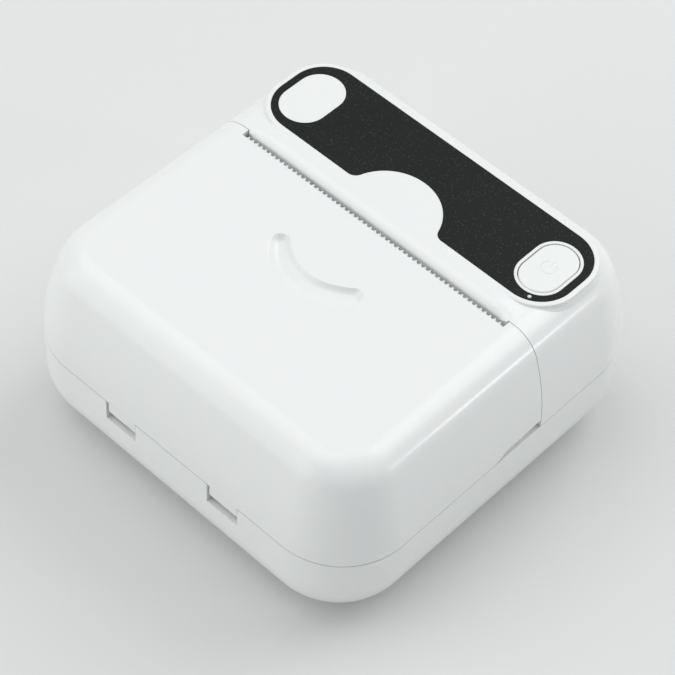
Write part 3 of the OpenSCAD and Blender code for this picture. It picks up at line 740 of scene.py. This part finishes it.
def makeLowerCase():
    s, wall, seamZ, front = lowerCase, case["wall"], case["seamZ"], -case["halfY"]
    top = seamZ - seamGap / 2
    shell = sweepShell("lowerCase", closedPath(), lowerEdge(0, top), lowerEdge(wall, top), True)
    added = [makeSeamLip(top)]
    for x in windows:
        for side in (-1, 1):
            mid = x + side * (s["windowW"] + s["bossW"]) / 2
            added.append(block("pinBoss", (mid - s["bossW"] / 2, front + 1, seamZ - s["windowH"] - 1),
                               (mid + s["bossW"] / 2, front + s["bossDepth"], seamZ - 0.3)))
    caseScrews = s["frontScrews"] + s["rearScrews"]
    added += rodsAt("screwPost", caseScrews, s["postR"] + 0.2, floorZ - 1, floorZ + 2.2)
    added += rodsAt("framePost", s["frameFeet"], s["postR"], floorZ - 1, s["postTop"])
    for side in (-1, 1):
        inside = case["halfX"] - wall
        low, high = sorted((side * (inside - s["notchBackPlay"]), side * (inside - s["lipT"])))
        added.append(block("notchBack", (low, splitY - s["notchBackL"], seamZ - 1),
                           (high, splitY + 1, seamZ + s["notchBackH"])))
    combine(shell, added, "UNION")
    half = s["windowW"] / 2
    cuts = [block("window", (x - half, front - 1, seamZ - s["windowH"]),
                  (x + half, front + s["windowDepth"], seamZ + 3)) for x in windows]
    footH = case["footH"]
    for place in caseScrews:
        cuts.append(rod("screwRecess", place, s["screwHeadR"], footH - 1, s["screwSeat"], "Z"))
        cuts.append(rod("screwHole", place, s["screwHoleR"], footH, s["screwHoleTop"], "Z", 20))
    cuts += rodsAt("frameHole", s["frameFeet"], s["frameHoleR"], *s["frameHoleZ"], 20)
    cuts += rodsAt("footPocket", s["padAt"], s["padR"], footH - 1, footH + s["padDepth"], 40)
    combine(shell, cuts, "DIFFERENCE")
    softenEdges(shell, s["edgeR"])
    finishPiece(shell, "case", "white_shell", "lower_case")


makeLowerCase()
print("lower case made")


# Lid

lid = {
    "slotHalf": 29.7,
    "slotFront": 7.4,
    "slotBack": 12,
    "stripBack": 5.2,
    "stripCover": 0.3,
    "hollowY": 1.4,
    "hollowR": 10.6,
    "hollowHalfAngle": 51.5,
    "hollowHalfW": 2.25,
    "hollowDepth": 1.0,
    "hollowTaper": 0.24,
    "hollowFlare": 1.3,      # width above the lid, as a share of the half width
    "hollowSteps": (1.16, 1.08, 1.02, 0.97, 0.92, 0.86, 0.8, 0.72, 0.62, 0.5, 0.36, 0.2, 0.06),
    "notchL": 11.5,
    "notchRise": 3,
    "notchH": 1.75,
    "tabW": 6.3,
    "knuckleR": 1.05,
    "pinHoleR": 0.66,
    "edgeInset": 0.6,        # the front edge is thinned from the inside, beyond this skin
    "edgeThinH": 0.45,
    "edgeThinL": 7,
    "ribX": 30.5,
    "ribT": 1.0,
    "ribY": (-26, -4),
    "bossR": 2.2,
    "screws": [(-12, -0.5), (12, -0.5)],
    "screwHoleR": 0.7,
    "edgeR": 0.12,
}


def hollowTrack(half, capSteps=12, arcSteps=36):
    # Round the hollow's centre arc: an angle on the arc, a direction in plan and its outward share.
    # The far side of the arc comes first, then an end, the near side and the other end.
    angles = [-math.pi / 2 - half + 2 * half * i / arcSteps for i in range(arcSteps + 1)]
    first, last = angles[0], angles[-1]
    track = [(a, math.cos(a), math.sin(a), 1.0) for a in angles]
    for i in range(1, capSteps):
        turn = last + math.pi * i / capSteps
        track.append((last, math.cos(turn), math.sin(turn), math.cos(math.pi * i / capSteps)))
    track += [(a, -math.cos(a), -math.sin(a), -1.0) for a in reversed(angles)]
    for i in range(1, capSteps):
        turn = first + math.pi + math.pi * i / capSteps
        track.append((first, math.cos(turn), math.sin(turn), -math.cos(math.pi * i / capSteps)))
    return track


def thumbHollowTool():
    # Rings from above the lid down to the bottom of the hollow
    s = lid
    half = math.radians(s["hollowHalfAngle"])
    track = hollowTrack(half)
    flare = s["hollowHalfW"] * s["hollowFlare"]
    rings = [[(s["hollowR"] * math.cos(a) + flare * dx,
               s["hollowY"] + s["hollowR"] * math.sin(a) + flare * dy, deckZ + 1) for a, dx, dy, _ in track]]
    for t in s["hollowSteps"]:
        ring = []
        for a, dx, dy, outward in track:
            crisp = 3.6 - 1.6 * (outward + 1) / 2        # the rear edge is crisper than the front one
            fall = max(1 - t ** crisp, 0) ** (0.8 + 0.5 * (outward + 1) / 2)
            rise = 0.25 * (t - 1) if t > 1 else 0
            reach = s["hollowHalfW"] * t * (1 - s["hollowTaper"] * ((a + math.pi / 2) / half) ** 4)
            x = s["hollowR"] * math.cos(a) + reach * dx
            y = s["hollowY"] + s["hollowR"] * math.sin(a) + reach * dy
            ring.append((x, y, deckZ - s["hollowDepth"] * fall + rise + 0.001))
        rings.append(ring)
    return loft("thumbHollow", rings)


def thinEdgeTools():
    # The shell's front edge is cut back between and beside the hinge tabs, on the inside only
    s, hx = lid, case["halfX"]
    half = s["tabW"] / 2
    stops = [-hx] + [v for x in windows for v in (x - half, x + half)] + [hx]
    tools = []
    for start, end in zip(stops[::2], stops[1::2]):
        thin = block("thinEdge", (start, hingeY - s["knuckleR"], seamHigh - 3),
                     (end, hingeY + s["edgeThinL"], seamHigh + s["edgeThinH"]))
        tools.append(combine(thin, [prism("inside", planInset(s["edgeInset"]), 10, 25)], "INTERSECT"))
    return tools


def makeLid():
    s, hx = lid, case["halfX"]
    inner = upperEdge(case["wall"], seamHigh, 8, 6)
    shell = sweepShell("lidCover", stationPath(rearY, -1), upperEdge(0, seamHigh), inner, False)
    added = []
    for x in windows:
        half = s["tabW"] / 2
        added.append(block("tab", (x - half, hingeY - s["knuckleR"], hingeZ),
                           (x + half, hingeY + 0.8, seamHigh + 3)))
        added.append(rod("knuckle", (hingeY, hingeZ), s["knuckleR"], x - half, x + half, "X", 36))
    halfRib, (ribFront, ribBack) = s["ribT"] / 2, s["ribY"]
    for side, screw in zip((-1, 1), s["screws"]):
        x = side * s["ribX"]
        added.append(block("rib", (x - halfRib, ribFront, skinZ - 2.2), (x + halfRib, ribBack, skinZ + 0.8)))
        added.append(rod("boss", screw, s["bossR"], skinZ - 1, skinZ + 0.5, "Z", 28))
    combine(shell, added, "UNION")
    slotHalf, slotBack = s["slotHalf"], s["slotBack"]
    cuts = [thumbHollowTool()]
    cuts.append(block("slot", (-slotHalf, s["slotFront"], skinZ - 1), (slotHalf, slotBack, deckZ + 2)))
    cuts.append(block("stripSeat", (-slotHalf, s["stripBack"], skinZ - 1),
                      (slotHalf, slotBack, deckZ - s["stripCover"])))
    cuts += thinEdgeTools()
    cuts += [rod("pinHole", (hingeY, hingeZ), s["pinHoleR"], x - 5, x + 5, "X", 24) for x in windows]
    notchEnd = rearY - s["notchL"]
    notch = [(rearY + 1, seamHigh - 1), (rearY + 1, seamHigh + s["notchH"]),
             (rearY - s["notchL"] + s["notchRise"], seamHigh + s["notchH"] - 0.45),
             (notchEnd, seamHigh - 0.01), (notchEnd, seamHigh - 1)]
    cuts.append(prismX("fingerNotch", notch, -hx - 1, hx + 1))
    cuts += rodsAt("screwHole", s["screws"], s["screwHoleR"], skinZ - 2, skinZ + 0.8, 16)
    combine(shell, cuts, "DIFFERENCE")
    softenEdges(shell, s["edgeR"])
    finishPiece(shell, "lid", "white_shell", "lid_cover")


makeLid()
print("lid made")


# Rear housing

housing = {
    "rimW": 0.95,
    "rimTop": 0.45,
    "footR": 2.6,
    "footSink": 0.35,        # how far the rim's foot goes on into the shell
    "apronHalf": 33,
    "apronFlat": 24.0,
    "apronEnd": 31.5,
    "apronRows": [11.6, 12.3, 13.0, 13.8, 14.6],
    "lipDepth": 1.5,
    "lipBack": 10.9,
    "lipFront": 8.72,
    "lipHalf": 29.4,
    "lipEnd": 29.75,
    "lipFade": 2.2,
    "lipRoomHalf": 30.4,
    "guideY": 7.85,
    "guideZ": 34.5,
    "collar": 0.58,
    "fit": 0.06,             # play round the black panel and the pads
    "bossR": 2.2,
    "bossLow": 7.4,
    "boardPosts": [(-14.5, 18.0), (-14.5, 33.0), (20.5, 33.0), (18.5, 17.5)],
    "boardPostR": 1.5,
    "boardPostLow": 28.5,
    "postCover": 0.6,        # shell that stays over a post
    "screwHoleR": 0.8,
    "screwHoleZ": (6, 15),
    "light": (28.7, 15.0),
    "lightR": 0.42,
    "portW": 9.7,
    "portH": 3.9,
    "portZ": 30.1,
    "edgeR": 0.1,
}


def smoothStep(value, low, high):
    t = min(max((value - low) / (high - low), 0), 1)
    return t * t * (3 - 2 * t)


def plateauRing(grow, steps=14, spacing=3):
    # Points and outward directions round the panel's white rim, also along its straights
    x1, y0, y1 = panel["halfX"] + grow, panel["front"] - grow, panel["back"] + grow
    r = panel["cornerR"] + grow
    corners = cornerStations(x1 - r, y0 + r, y1 - r, steps)
    ring = [(x + r * dx, y + r * dy, dx, dy) for x, y, dx, dy in corners]
    filled = []
    for i, (x, y, dx, dy) in enumerate(ring):
        filled.append((x, y, dx, dy))
        nx, ny = ring[(i + 1) % len(ring)][:2]
        count = int(math.hypot(nx - x, ny - y) // spacing)
        for k in range(1, count):
            filled.append((x + (nx - x) * k / count, y + (ny - y) * k / count, dx, dy))
    return filled


def footOf(x, y, dx, dy):
    # Largest fillet between the rim's upright wall and the shell beyond it: its radius, centre height and
    # the shell's slope, found by halving
    s = housing
    smallest, step = 0.05, 0.2
    low, high = smallest, s["footR"]
    best = None
    for _ in range(18):
        r = (low + high) / 2
        here = shellTop(x + dx * r, y + dy * r)
        slope = math.atan2(here - shellTop(x + dx * (r + step), y + dy * (r + step)), step)
        centre = here + r / math.cos(slope)
        if centre <= rimZ - s["rimTop"] * 0.5:
            best = (r, centre, slope)
            low = r
        else:
            high = r
    return best or (smallest, rimZ - 0.2, 0.0)


def makePlateau(topSteps=4, footSteps=8):
    # The white rim's solid, from its rounded top down its foot and into the shell
    s = housing
    base = plateauRing(s["rimW"])
    feet = [footOf(*p) for p in base]
    rings = []
    for i in range(topSteps + 1):
        a = math.radians(90 * i / topSteps)
        ring = []
        for (x, y, dx, dy), (_, centre, _) in zip(base, feet):
            top = min(s["rimTop"], rimZ - centre)
            out = -top + top * math.sin(a)
            ring.append((x + dx * out, y + dy * out, rimZ - top * (1 - math.cos(a))))
        rings.append(ring)
    for i in range(footSteps + 1):
        ring = []
        for (x, y, dx, dy), (r, centre, slope) in zip(base, feet):
            b = (math.pi / 2 - slope - 0.06) * i / footSteps
            out = r * (1 - math.cos(b))
            ring.append((x + dx * out, y + dy * out, centre - r * math.sin(b)))
        rings.append(ring)
    deeper = []
    for (x, y, dx, dy), (r, _, slope) in zip(base, feet):
        out = r * (1 - math.sin(slope)) + s["footSink"]
        deeper.append((x + dx * out, y + dy * out, shellTop(x + dx * out, y + dy * out) - s["footSink"]))
    rings.append(deeper)
    rings.append([(x - dx * 3, y - dy * 3, skinZ + 0.6) for x, y, dx, dy in base])
    return loft("plateau", rings)


def apronHeight(x, y):
    # The deck rises to the rim between the slot and the panel, and rounds down into the slot
    s = housing
    shell = shellTop(x, y)
    lift = smoothStep(s["apronEnd"] - abs(x), 0, s["apronEnd"] - s["apronFlat"])
    z = shell - 0.04 + (rimZ + 0.04 - shell) * lift
    t = max((s["lipBack"] - y) / (s["lipBack"] - s["lipFront"]), 0)
    fade = smoothStep(s["lipEnd"] - abs(x), 0, s["lipFade"])
    return z - s["lipDepth"] * (1 - math.sqrt(1 - 0.96 * t * t)) * fade


def makeApron(lipSteps=14, cellsAcross=132):
    # A grid surface between the slot and the panel, with the slot's rounded rear lip, made solid downwards
    s = housing
    front, back = s["lipFront"], s["lipBack"]
    xs = [-s["apronHalf"] + 2 * s["apronHalf"] * i / cellsAcross for i in range(cellsAcross + 1)]
    ys = [front + (back - front) * i / lipSteps for i in range(lipSteps + 1)] + s["apronRows"]
    verts = [(x, y, apronHeight(x, y)) for y in ys for x in xs]
    low = len(verts)
    verts += [(x, y, skinZ - 0.06) for y in ys for x in xs]
    w, faces = len(xs), []

    def cell(i, j, base=0):
        return base + i * w + j

    for i in range(len(ys) - 1):
        for j in range(w - 1):
            faces.append((cell(i, j), cell(i, j + 1), cell(i + 1, j + 1), cell(i + 1, j)))
            faces.append((cell(i + 1, j, low), cell(i + 1, j + 1, low), cell(i, j + 1, low), cell(i, j, low)))
    for i in (0, len(ys) - 1):
        for j in range(w - 1):
            faces.append((cell(i, j), cell(i, j + 1), cell(i, j + 1, low), cell(i, j, low)))
    for j in (0, w - 1):
        for i in range(len(ys) - 1):
            faces.append((cell(i, j), cell(i + 1, j), cell(i + 1, j, low), cell(i, j, low)))
    apron = makeObject("apron", verts, faces)
    sides = [block("side", (min(x, x * 2), front - 1, 30), (max(x, x * 2), houseY, 40))
             for x in (-s["lipHalf"], s["lipHalf"])]
    return combine(apron, sides, "DIFFERENCE")


def housingPosts():
    # Screw bosses and board posts, each kept below the outer face
    s = housing
    posts = []
    for x, y in lowerCase["rearScrews"]:
        top = min(skinZ + 0.4, shellTop(x + math.copysign(s["bossR"], x), y + s["bossR"]) - s["postCover"])
        posts.append(rod("screwBoss", (x, y), s["bossR"], s["bossLow"], top, "Z", 28))
    for x, y in s["boardPosts"]:
        top = min(skinZ + 0.4, shellTop(x, y + s["boardPostR"]) - s["postCover"])
        posts.append(rod("boardPost", (x, y), s["boardPostR"], s["boardPostLow"], top, "Z", 20))
    return posts


def panelOval(name, x, shrink, z0, z1):
    halfW, halfL = panel["ovalHalf"]
    return prism(name, oval(x, panel["ovalY"], halfW - shrink, halfL - shrink), z0, z1)


def housingCuts():
    # The panel's seat with its two pads left standing, and the openings for the key, light, port and screws
    s, hy = housing, case["halfY"]
    recess = prism("recess", panelOutline(s["fit"]), topZ - panel["thick"], topZ + 1)
    pads = [panelOval("pad", side * panel["ovalX"], s["fit"], topZ - 2, topZ + 2) for side in (-1, 1)]
    cuts = [combine(recess, pads, "DIFFERENCE")]
    cuts.append(panelOval("buttonWell", panel["ovalX"], s["collar"], skinZ - 1, topZ + 1))
    cuts.append(rod("lightHole", s["light"], s["lightR"], skinZ - 1, topZ + 1, "Z", 24))
    port = [(y, s["portZ"] + x) for x, y in oval(0, 0, s["portH"] / 2, s["portW"] / 2)]
    cuts.append(prismY("port", port, hy - 5, hy + 1))
    return cuts + rodsAt("screwHole", lowerCase["rearScrews"], s["screwHoleR"], *s["screwHoleZ"], 16)


def makeHousing():
    s = housing
    inner = upperEdge(case["wall"], seamHigh, 8, 6)
    shell = sweepShell("rearHousing", stationPath(houseY, 1), upperEdge(0, seamHigh), inner, False)
    half = s["lipRoomHalf"]
    room = block("lipRoom", (-half, houseY - 1, skinZ - 1), (half, s["lipBack"] - 0.2, deckZ + 1))
    combine(shell, [room], "DIFFERENCE")
    guide = block("paperGuide", (-s["lipHalf"], s["guideY"], s["guideZ"]),
                  (s["lipHalf"], s["lipFront"] + 0.8, skinZ + 0.1))
    combine(shell, [makeApron(), makePlateau(), guide] + housingPosts(), "UNION")
    combine(shell, housingCuts(), "DIFFERENCE")
    softenEdges(shell, s["edgeR"])
    finishPiece(shell, "case", "white_shell", "rear_housing")


makeHousing()
print("rear housing made")


# Black panel, button and light

button = {
    "gap": 0.16,
    "cap": 0.3,
    "top": buttonHigh.z,
    "flange": (1.0, 0.4),
    "flangeZ": (skinZ - 1.1, skinZ - 0.25),
    "stemR": 1.5,
    "stemLow": 31.4,
    "markR": 1.35,
    "markW": 0.3,
    "markDepth": 0.06,
    "markOpen": (125, 415),
    "barY": (0.35, 0.45),
}


def makePanel():
    plate = prism("overlayPanel", panelOutline(), topZ - panel["thick"], topZ)
    cuts = [panelOval("ovalHole", side * panel["ovalX"], 0, topZ - 2, topZ + 1) for side in (-1, 1)]
    cuts.append(rod("lightHole", housing["light"], housing["lightR"], topZ - 2, topZ + 1, "Z", 24))
    combine(plate, cuts, "DIFFERENCE")
    softenEdges(plate, panel["edgeR"])
    finishPiece(plate, "case", "black_panel", "overlay_panel")


def makeMark():
    # Shallow on and off mark: a ring open at the rear and a short bar through the gap
    s = button
    x, y, r, half = panel["ovalX"], panel["ovalY"], s["markR"], s["markW"] / 2
    start, end = s["markOpen"]
    near, far = s["barY"]
    low, high = s["top"] - s["markDepth"], s["top"] + 1
    ring = prism("ring", arc(x, y, r + half, start, end, 40) + arc(x, y, r - half, end, start, 40), low, high)
    return [ring, block("bar", (x - half, y + near, low), (x + half, y + r + far, high))]


def makeLight():
    low, high = boxOf("status_light_pipe")
    r, (x, y) = housing["lightR"] - 0.03, housing["light"]
    profile = [(r, low.z), (r, high.z - 0.2), (r * 0.92, high.z - 0.09), (r * 0.7, high.z - 0.02),
               (r * 0.35, high.z)]
    rings = [[(px, py, z) for px, py in circle(x, y, radius)] for radius, z in profile]
    light = softenEdges(loft("statusLight", rings), 0)
    finishPiece(light, "case", "clear_light", "status_light_pipe")


def makeButton():
    # A flange under the housing, the cap with a rounded edge, a stem to the switch and the mark
    s = button
    inset = housing["collar"] + s["gap"]
    halfW, halfL = panel["ovalHalf"][0] - inset, panel["ovalHalf"][1] - inset

    def ringAt(growW, growL, z):
        return [(x, y, z) for x, y in oval(panel["ovalX"], panel["ovalY"], halfW + growW, halfL + growL, 24)]

    low, high = s["flangeZ"]
    rings = [ringAt(*s["flange"], low), ringAt(*s["flange"], high), ringAt(0, 0, high)]
    for i in range(6):
        a = math.radians(18 * i)
        shrink = s["cap"] * (1 - math.cos(a))
        rings.append(ringAt(-shrink, -shrink, s["top"] - s["cap"] + s["cap"] * math.sin(a)))
    cap = loft("powerButton", rings)
    stem = rod("stem", (panel["ovalX"], panel["ovalY"]), s["stemR"], s["stemLow"], skinZ - 1, "Z", 24)
    combine(cap, [stem], "UNION")
    combine(cap, makeMark(), "DIFFERENCE")
    softenEdges(cap, 0)
    finishPiece(cap, "button", "white_shell", "power_button")


makePanel()
makeButton()
makeLight()
print("panel, button and light made")


# Geometry Nodes: what repeats

def newShapeTree(name, inputs):
    # A tree with the given inputs and a material, and the sockets' identifiers
    tree = bpy.data.node_groups.new(name, "GeometryNodeTree")
    tree.interface.new_socket("Geometry", in_out="INPUT", socket_type="NodeSocketGeometry")
    keys = {}
    for label, kind in {**inputs, "Material": "Material"}.items():
        socket = tree.interface.new_socket(label, in_out="INPUT", socket_type="NodeSocket" + kind)
        keys[label] = socket.identifier
    tree.interface.new_socket("Geometry", in_out="OUTPUT", socket_type="NodeSocketGeometry")
    return tree, keys, tree.nodes.new("NodeGroupInput")


def closeTree(tree, start, place, keepBase):
    # Ends a tree with real meshes and their material, joined to the base mesh where it is kept
    end = tree.nodes.new("NodeGroupOutput")
    realize = addNode(tree, "GeometryNodeRealizeInstances")
    dressed = addNode(tree, "GeometryNodeSetMaterial")
    if keepBase:
        joined = addNode(tree, "GeometryNodeJoinGeometry")
        connect(tree, (place, "Instances", joined, "Geometry"), (start, "Geometry", joined, "Geometry"),
                (joined, "Geometry", realize, "Geometry"))
    else:
        connect(tree, (place, "Instances", realize, "Geometry"))
    connect(tree, (realize, "Geometry", dressed, "Geometry"), (start, "Material", dressed, "Material"),
            (dressed, "Geometry", end, "Geometry"))


def makeRowTree():
    # A row of equal copies of an object, stepped by an offset, joined to the base mesh
    inputs = {"Copy": "Object", "Count": "Int", "First": "Vector", "Step": "Vector"}
    tree, keys, start = newShapeTree("rowOfCopies", inputs)
    row = addNode(tree, "GeometryNodeMeshLine")
    copy = addNode(tree, "GeometryNodeObjectInfo")
    place = addNode(tree, "GeometryNodeInstanceOnPoints")
    connect(tree,
            (start, "Count", row, "Count"), (start, "First", row, "Start Location"),
            (start, "Step", row, "Offset"), (start, "Copy", copy, "Object"),
            (row, "Mesh", place, "Points"), (copy, "Geometry", place, "Instance"))
    closeTree(tree, start, place, True)
    return tree, keys


def makeScatterTree():
    # A copy of an object on every point of the base mesh
    tree, keys, start = newShapeTree("copiesOnPoints", {"Copy": "Object"})
    copy = addNode(tree, "GeometryNodeObjectInfo")
    place = addNode(tree, "GeometryNodeInstanceOnPoints")
    connect(tree, (start, "Copy", copy, "Object"), (start, "Geometry", place, "Points"),
            (copy, "Geometry", place, "Instance"))
    closeTree(tree, start, place, False)
    return tree, keys


def makeSpringTree():
    # A coil of round wire on every point of the base mesh, its axis along Y
    inputs = {"Turns": "Float", "Radius": "Float", "Length": "Float", "Wire": "Float"}
    tree, keys, start = newShapeTree("coilsOnPoints", inputs)
    spiral = addNode(tree, "GeometryNodeCurveSpiral", {"Resolution": 26})
    wire = addNode(tree, "GeometryNodeCurvePrimitiveCircle", {"Resolution": 10})
    coil = addNode(tree, "GeometryNodeCurveToMesh", {"Fill Caps": True})
    place = addNode(tree, "GeometryNodeInstanceOnPoints", {"Rotation": (-math.pi / 2, 0, 0)})
    connect(tree,
            (start, "Turns", spiral, "Rotations"), (start, "Radius", spiral, "Start Radius"),
            (start, "Radius", spiral, "End Radius"), (start, "Length", spiral, "Height"),
            (start, "Wire", wire, "Radius"), (spiral, "Curve", coil, "Curve"),
            (wire, "Curve", coil, "Profile Curve"), (start, "Geometry", place, "Points"),
            (coil, "Mesh", place, "Instance"))
    closeTree(tree, start, place, False)
    return tree, keys


rowTree = makeRowTree()
scatterTree = makeScatterTree()
springTree = makeSpringTree()


def repeated(obj, treeAndKeys, values, slotName):
    # Runs a tree on an object with the given inputs and keeps the result as a plain mesh
    tree, keys = treeAndKeys
    modifier = obj.modifiers.new("Repeat", "NODES")
    modifier.node_group = tree
    for label, value in {**values, "Material": materials[slotName]}.items():
        modifier[keys[label]] = value
    applied(obj)
    if "Copy" in values:
        bpy.data.objects.remove(values["Copy"])
    return obj


def copiesOn(name, copy, places, body, slotName, *replaced):
    # One piece that has a copy on every place, a list of (x, y)
    points = makeObject(name, [(x, y, 0) for x, y in places], [])
    repeated(points, scatterTree, {"Copy": copy}, slotName)
    finishPiece(points, body, slotName, *replaced)


# Tear strip

strip = {
    "half": 29.6,
    "back": 5.3,
    "front": 7.42,
    "low": 36.42,
    "pitch": 1.02,
    "count": 57,
    "toothL": 0.72,
    "tipHalf": 0.05,
    "fill": 0.96,
}


def makeTearStrip():
    s = strip
    low, top = s["low"], deckZ - lid["stripCover"] - 0.02
    bar = block("tearStrip", (-s["half"], s["back"], low), (s["half"], s["front"], top))
    halfW, tip, reach = s["pitch"] * s["fill"] / 2, s["tipHalf"], s["toothL"]
    tooth = prism("tooth", [(-halfW, -0.1), (halfW, -0.1), (tip, reach), (-tip, reach)], low, top)
    first = Vector((-s["pitch"] * (s["count"] - 1) / 2, s["front"], 0)) * mm
    values = {"Copy": tooth, "Count": s["count"], "First": first, "Step": (s["pitch"] * mm, 0, 0)}
    repeated(bar, rowTree, values, "white_inner")
    finishPiece(bar, "lid", "white_inner", "tear_strip")


makeTearStrip()
print("tear strip made")


# Screws, springs and heat sink

screws = {
    "case": {"headR": 1.8, "headH": 1.4, "seat": 2.5, "shankR": 0.8},
    "frontL": 5.4,
    "rearL": 10.0,
    "frame": {"headR": 1.7, "headH": 0.7, "shankR": 0.85, "shankL": 5.0},
    "lid": {"headR": 1.5, "headH": 0.9, "shankR": 0.7},
    "recess": 0.22,          # half width of the cross recess
    "edgeR": 0.05,
}


def makeScrew(name, headR, headH, shankR, shankL, seat, down):
    # A round-headed screw with a cross recess. Its head rests at height seat, and down is 1 for a head below
    profile = [(shankR * 0.5, -shankL), (shankR, -shankL + 0.4), (shankR, 0), (headR, 0),
               (headR, headH * 0.45), (headR * 0.86, headH * 0.84), (headR * 0.6, headH)]
    rings = [[(x, y, seat - down * z) for x, y in circle(0, 0, r)] for r, z in profile]
    screw = loft(name, rings)
    reach, half = headR * 0.6, screws["recess"]
    low, high = sorted((seat - down * headH * 0.45, seat - down * (headH + 0.5)))
    cross = [block("slotX", (-reach, -half, low), (reach, half, high)),
             block("slotY", (-half, -reach, low), (half, reach, high))]
    combine(screw, cross, "DIFFERENCE")
    return softenEdges(screw, screws["edgeR"], steps=2)


def makeScrews():
    s = screws
    front = makeScrew("frontScrew", **s["case"], shankL=s["frontL"], down=1)
    copiesOn("frontCaseScrews", front, lowerCase["frontScrews"], "case", "steel", "case_screws")
    rear = makeScrew("rearScrew", **s["case"], shankL=s["rearL"], down=1)
    copiesOn("rearCaseScrews", rear, lowerCase["rearScrews"], "case", "steel")
    high = boxOf("frame_screws")[1].z
    screw = makeScrew("frameScrew", **s["frame"], seat=high - s["frame"]["headH"], down=-1)
    copiesOn("frameScrews", screw, lowerCase["frameFeet"], "case", "steel", "frame_screws")
    low, high = boxOf("lid_screws")
    headH = s["lid"]["headH"]
    screw = makeScrew("lidScrew", **s["lid"], shankL=high.z - low.z - headH, seat=low.z + headH, down=1)
    copiesOn("lidScrews", screw, lid["screws"], "lid", "steel", "lid_screws")


springs = {"turns": 5.5, "wire": 0.2}


def makeSprings():
    # Two coils in the place of the CAD's sleeves
    low, high = boxOf("head_springs")
    wire = springs["wire"]
    radius = (high.z - low.z) / 2 - wire
    length = high.y - low.y - 2 * wire
    x = high.x - radius - wire
    middle = (low.z + high.z) / 2
    piece = makeObject("headSprings", [(side * x, low.y + wire, middle) for side in (-1, 1)], [])
    values = {"Turns": springs["turns"], "Radius": radius * mm, "Length": length * mm, "Wire": wire * mm}
    repeated(piece, springTree, values, "steel")
    for face in piece.data.polygons:
        face.use_smooth = True
    finishPiece(piece, "case", "steel", "head_springs")


sink = {"plate": 1.2, "ribH": 1.0, "firstRib": 0.6, "pitch": 4.4, "count": 3, "edgeR": 0.12, "ribEdgeR": 0.15}


def makeHeatSink():
    s = sink
    low, high = boxOf("head_heatsink")
    plate = softenEdges(block("heatSink", low, (high.x, low.y + s["plate"], high.z)), s["edgeR"])
    foot = low.z + s["firstRib"]
    rib = block("rib", (low.x, low.y + s["plate"] - 0.02, foot), (high.x, high.y, foot + s["ribH"]))
    softenEdges(rib, s["ribEdgeR"])
    values = {"Copy": rib, "Count": s["count"], "First": (0, 0, 0), "Step": (0, 0, s["pitch"] * mm)}
    repeated(plate, rowTree, values, "aluminium")
    finishPiece(plate, "case", "aluminium", "head_heatsink")


head = {
    "lineHalf": 26.0,
    "lineZ": (28.35, 29.45),
    "lineT": 0.03,
    "lineEdgeR": 0.01,
    "coverHalf": 25.0,
    "coverZ": (22.8, 24.6),
    "coverT": 0.7,
    "coverSlope": 0.35,
    "coverEdgeR": 0.25,
    "bite": 0.01,            # how far both sit in the head's front
}


def makeHeadDetails():
    # The heating line and the moulded cover over the driver chips, on the head's front
    s = head
    front = boxOf("print_head")[0].y
    back = front + s["bite"]
    low, high = s["lineZ"]
    line = block("heatingLine", (-s["lineHalf"], front - s["lineT"], low), (s["lineHalf"], back, high))
    finishPiece(softenEdges(line, s["lineEdgeR"]), "case", "black_plastic")
    low, high = s["coverZ"]
    shoulder, slope = front - s["coverT"] * 0.7, s["coverSlope"]
    section = [(back, low), (back, high), (shoulder, high - slope),
               (front - s["coverT"], (low + high) / 2), (shoulder, low + slope)]
    cover = softenEdges(prismX("driverCover", section, -s["coverHalf"], s["coverHalf"]), s["coverEdgeR"])
    finishPiece(cover, "case", "black_plastic")


makeScrews()
makeSprings()
makeHeatSink()
makeHeadDetails()
print("screws, springs, heat sink and head details made")


# Every other node: a merged copy with softened edges

dressing = {
    "default": 0.08,
    "platen_gear": 0.03,
    "idler_gear": 0.03,
    "motor_pinion": 0.03,
    "main_board": 0.05,
    "ribbon_cable": 0.02,
    "battery": 0.9,
    "platen_roller": 0.25,
    "rubber_feet": 0.3,
    "usb_socket": 0.06,
    "mechanism_frame": 0.12,
    "paper_bin": 0.2,
    "lid_inner_frame": 0.12,
    "print_head": 0.06,
}
remade = {
    "lower_case", "rear_housing", "lid_cover", "overlay_panel", "power_button", "status_light_pipe",
    "tear_strip", "case_screws", "frame_screws", "lid_screws", "head_springs", "head_heatsink",
}


def dressNode(part):
    node = part["node"]
    source = nodes[node]
    mesh = source.data.copy()
    mesh.transform(source.matrix_world)
    piece = bpy.data.objects.new(node + "Piece", mesh)
    bpy.context.scene.collection.objects.link(piece)
    softenEdges(piece, dressing.get(node, dressing["default"]))
    finishPiece(piece, source["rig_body"], part["material_slot"], node)


for part in frame["record"]["subparts"]:
    if part["node"] not in remade:
        dressNode(part)
print("inner pieces dressed")
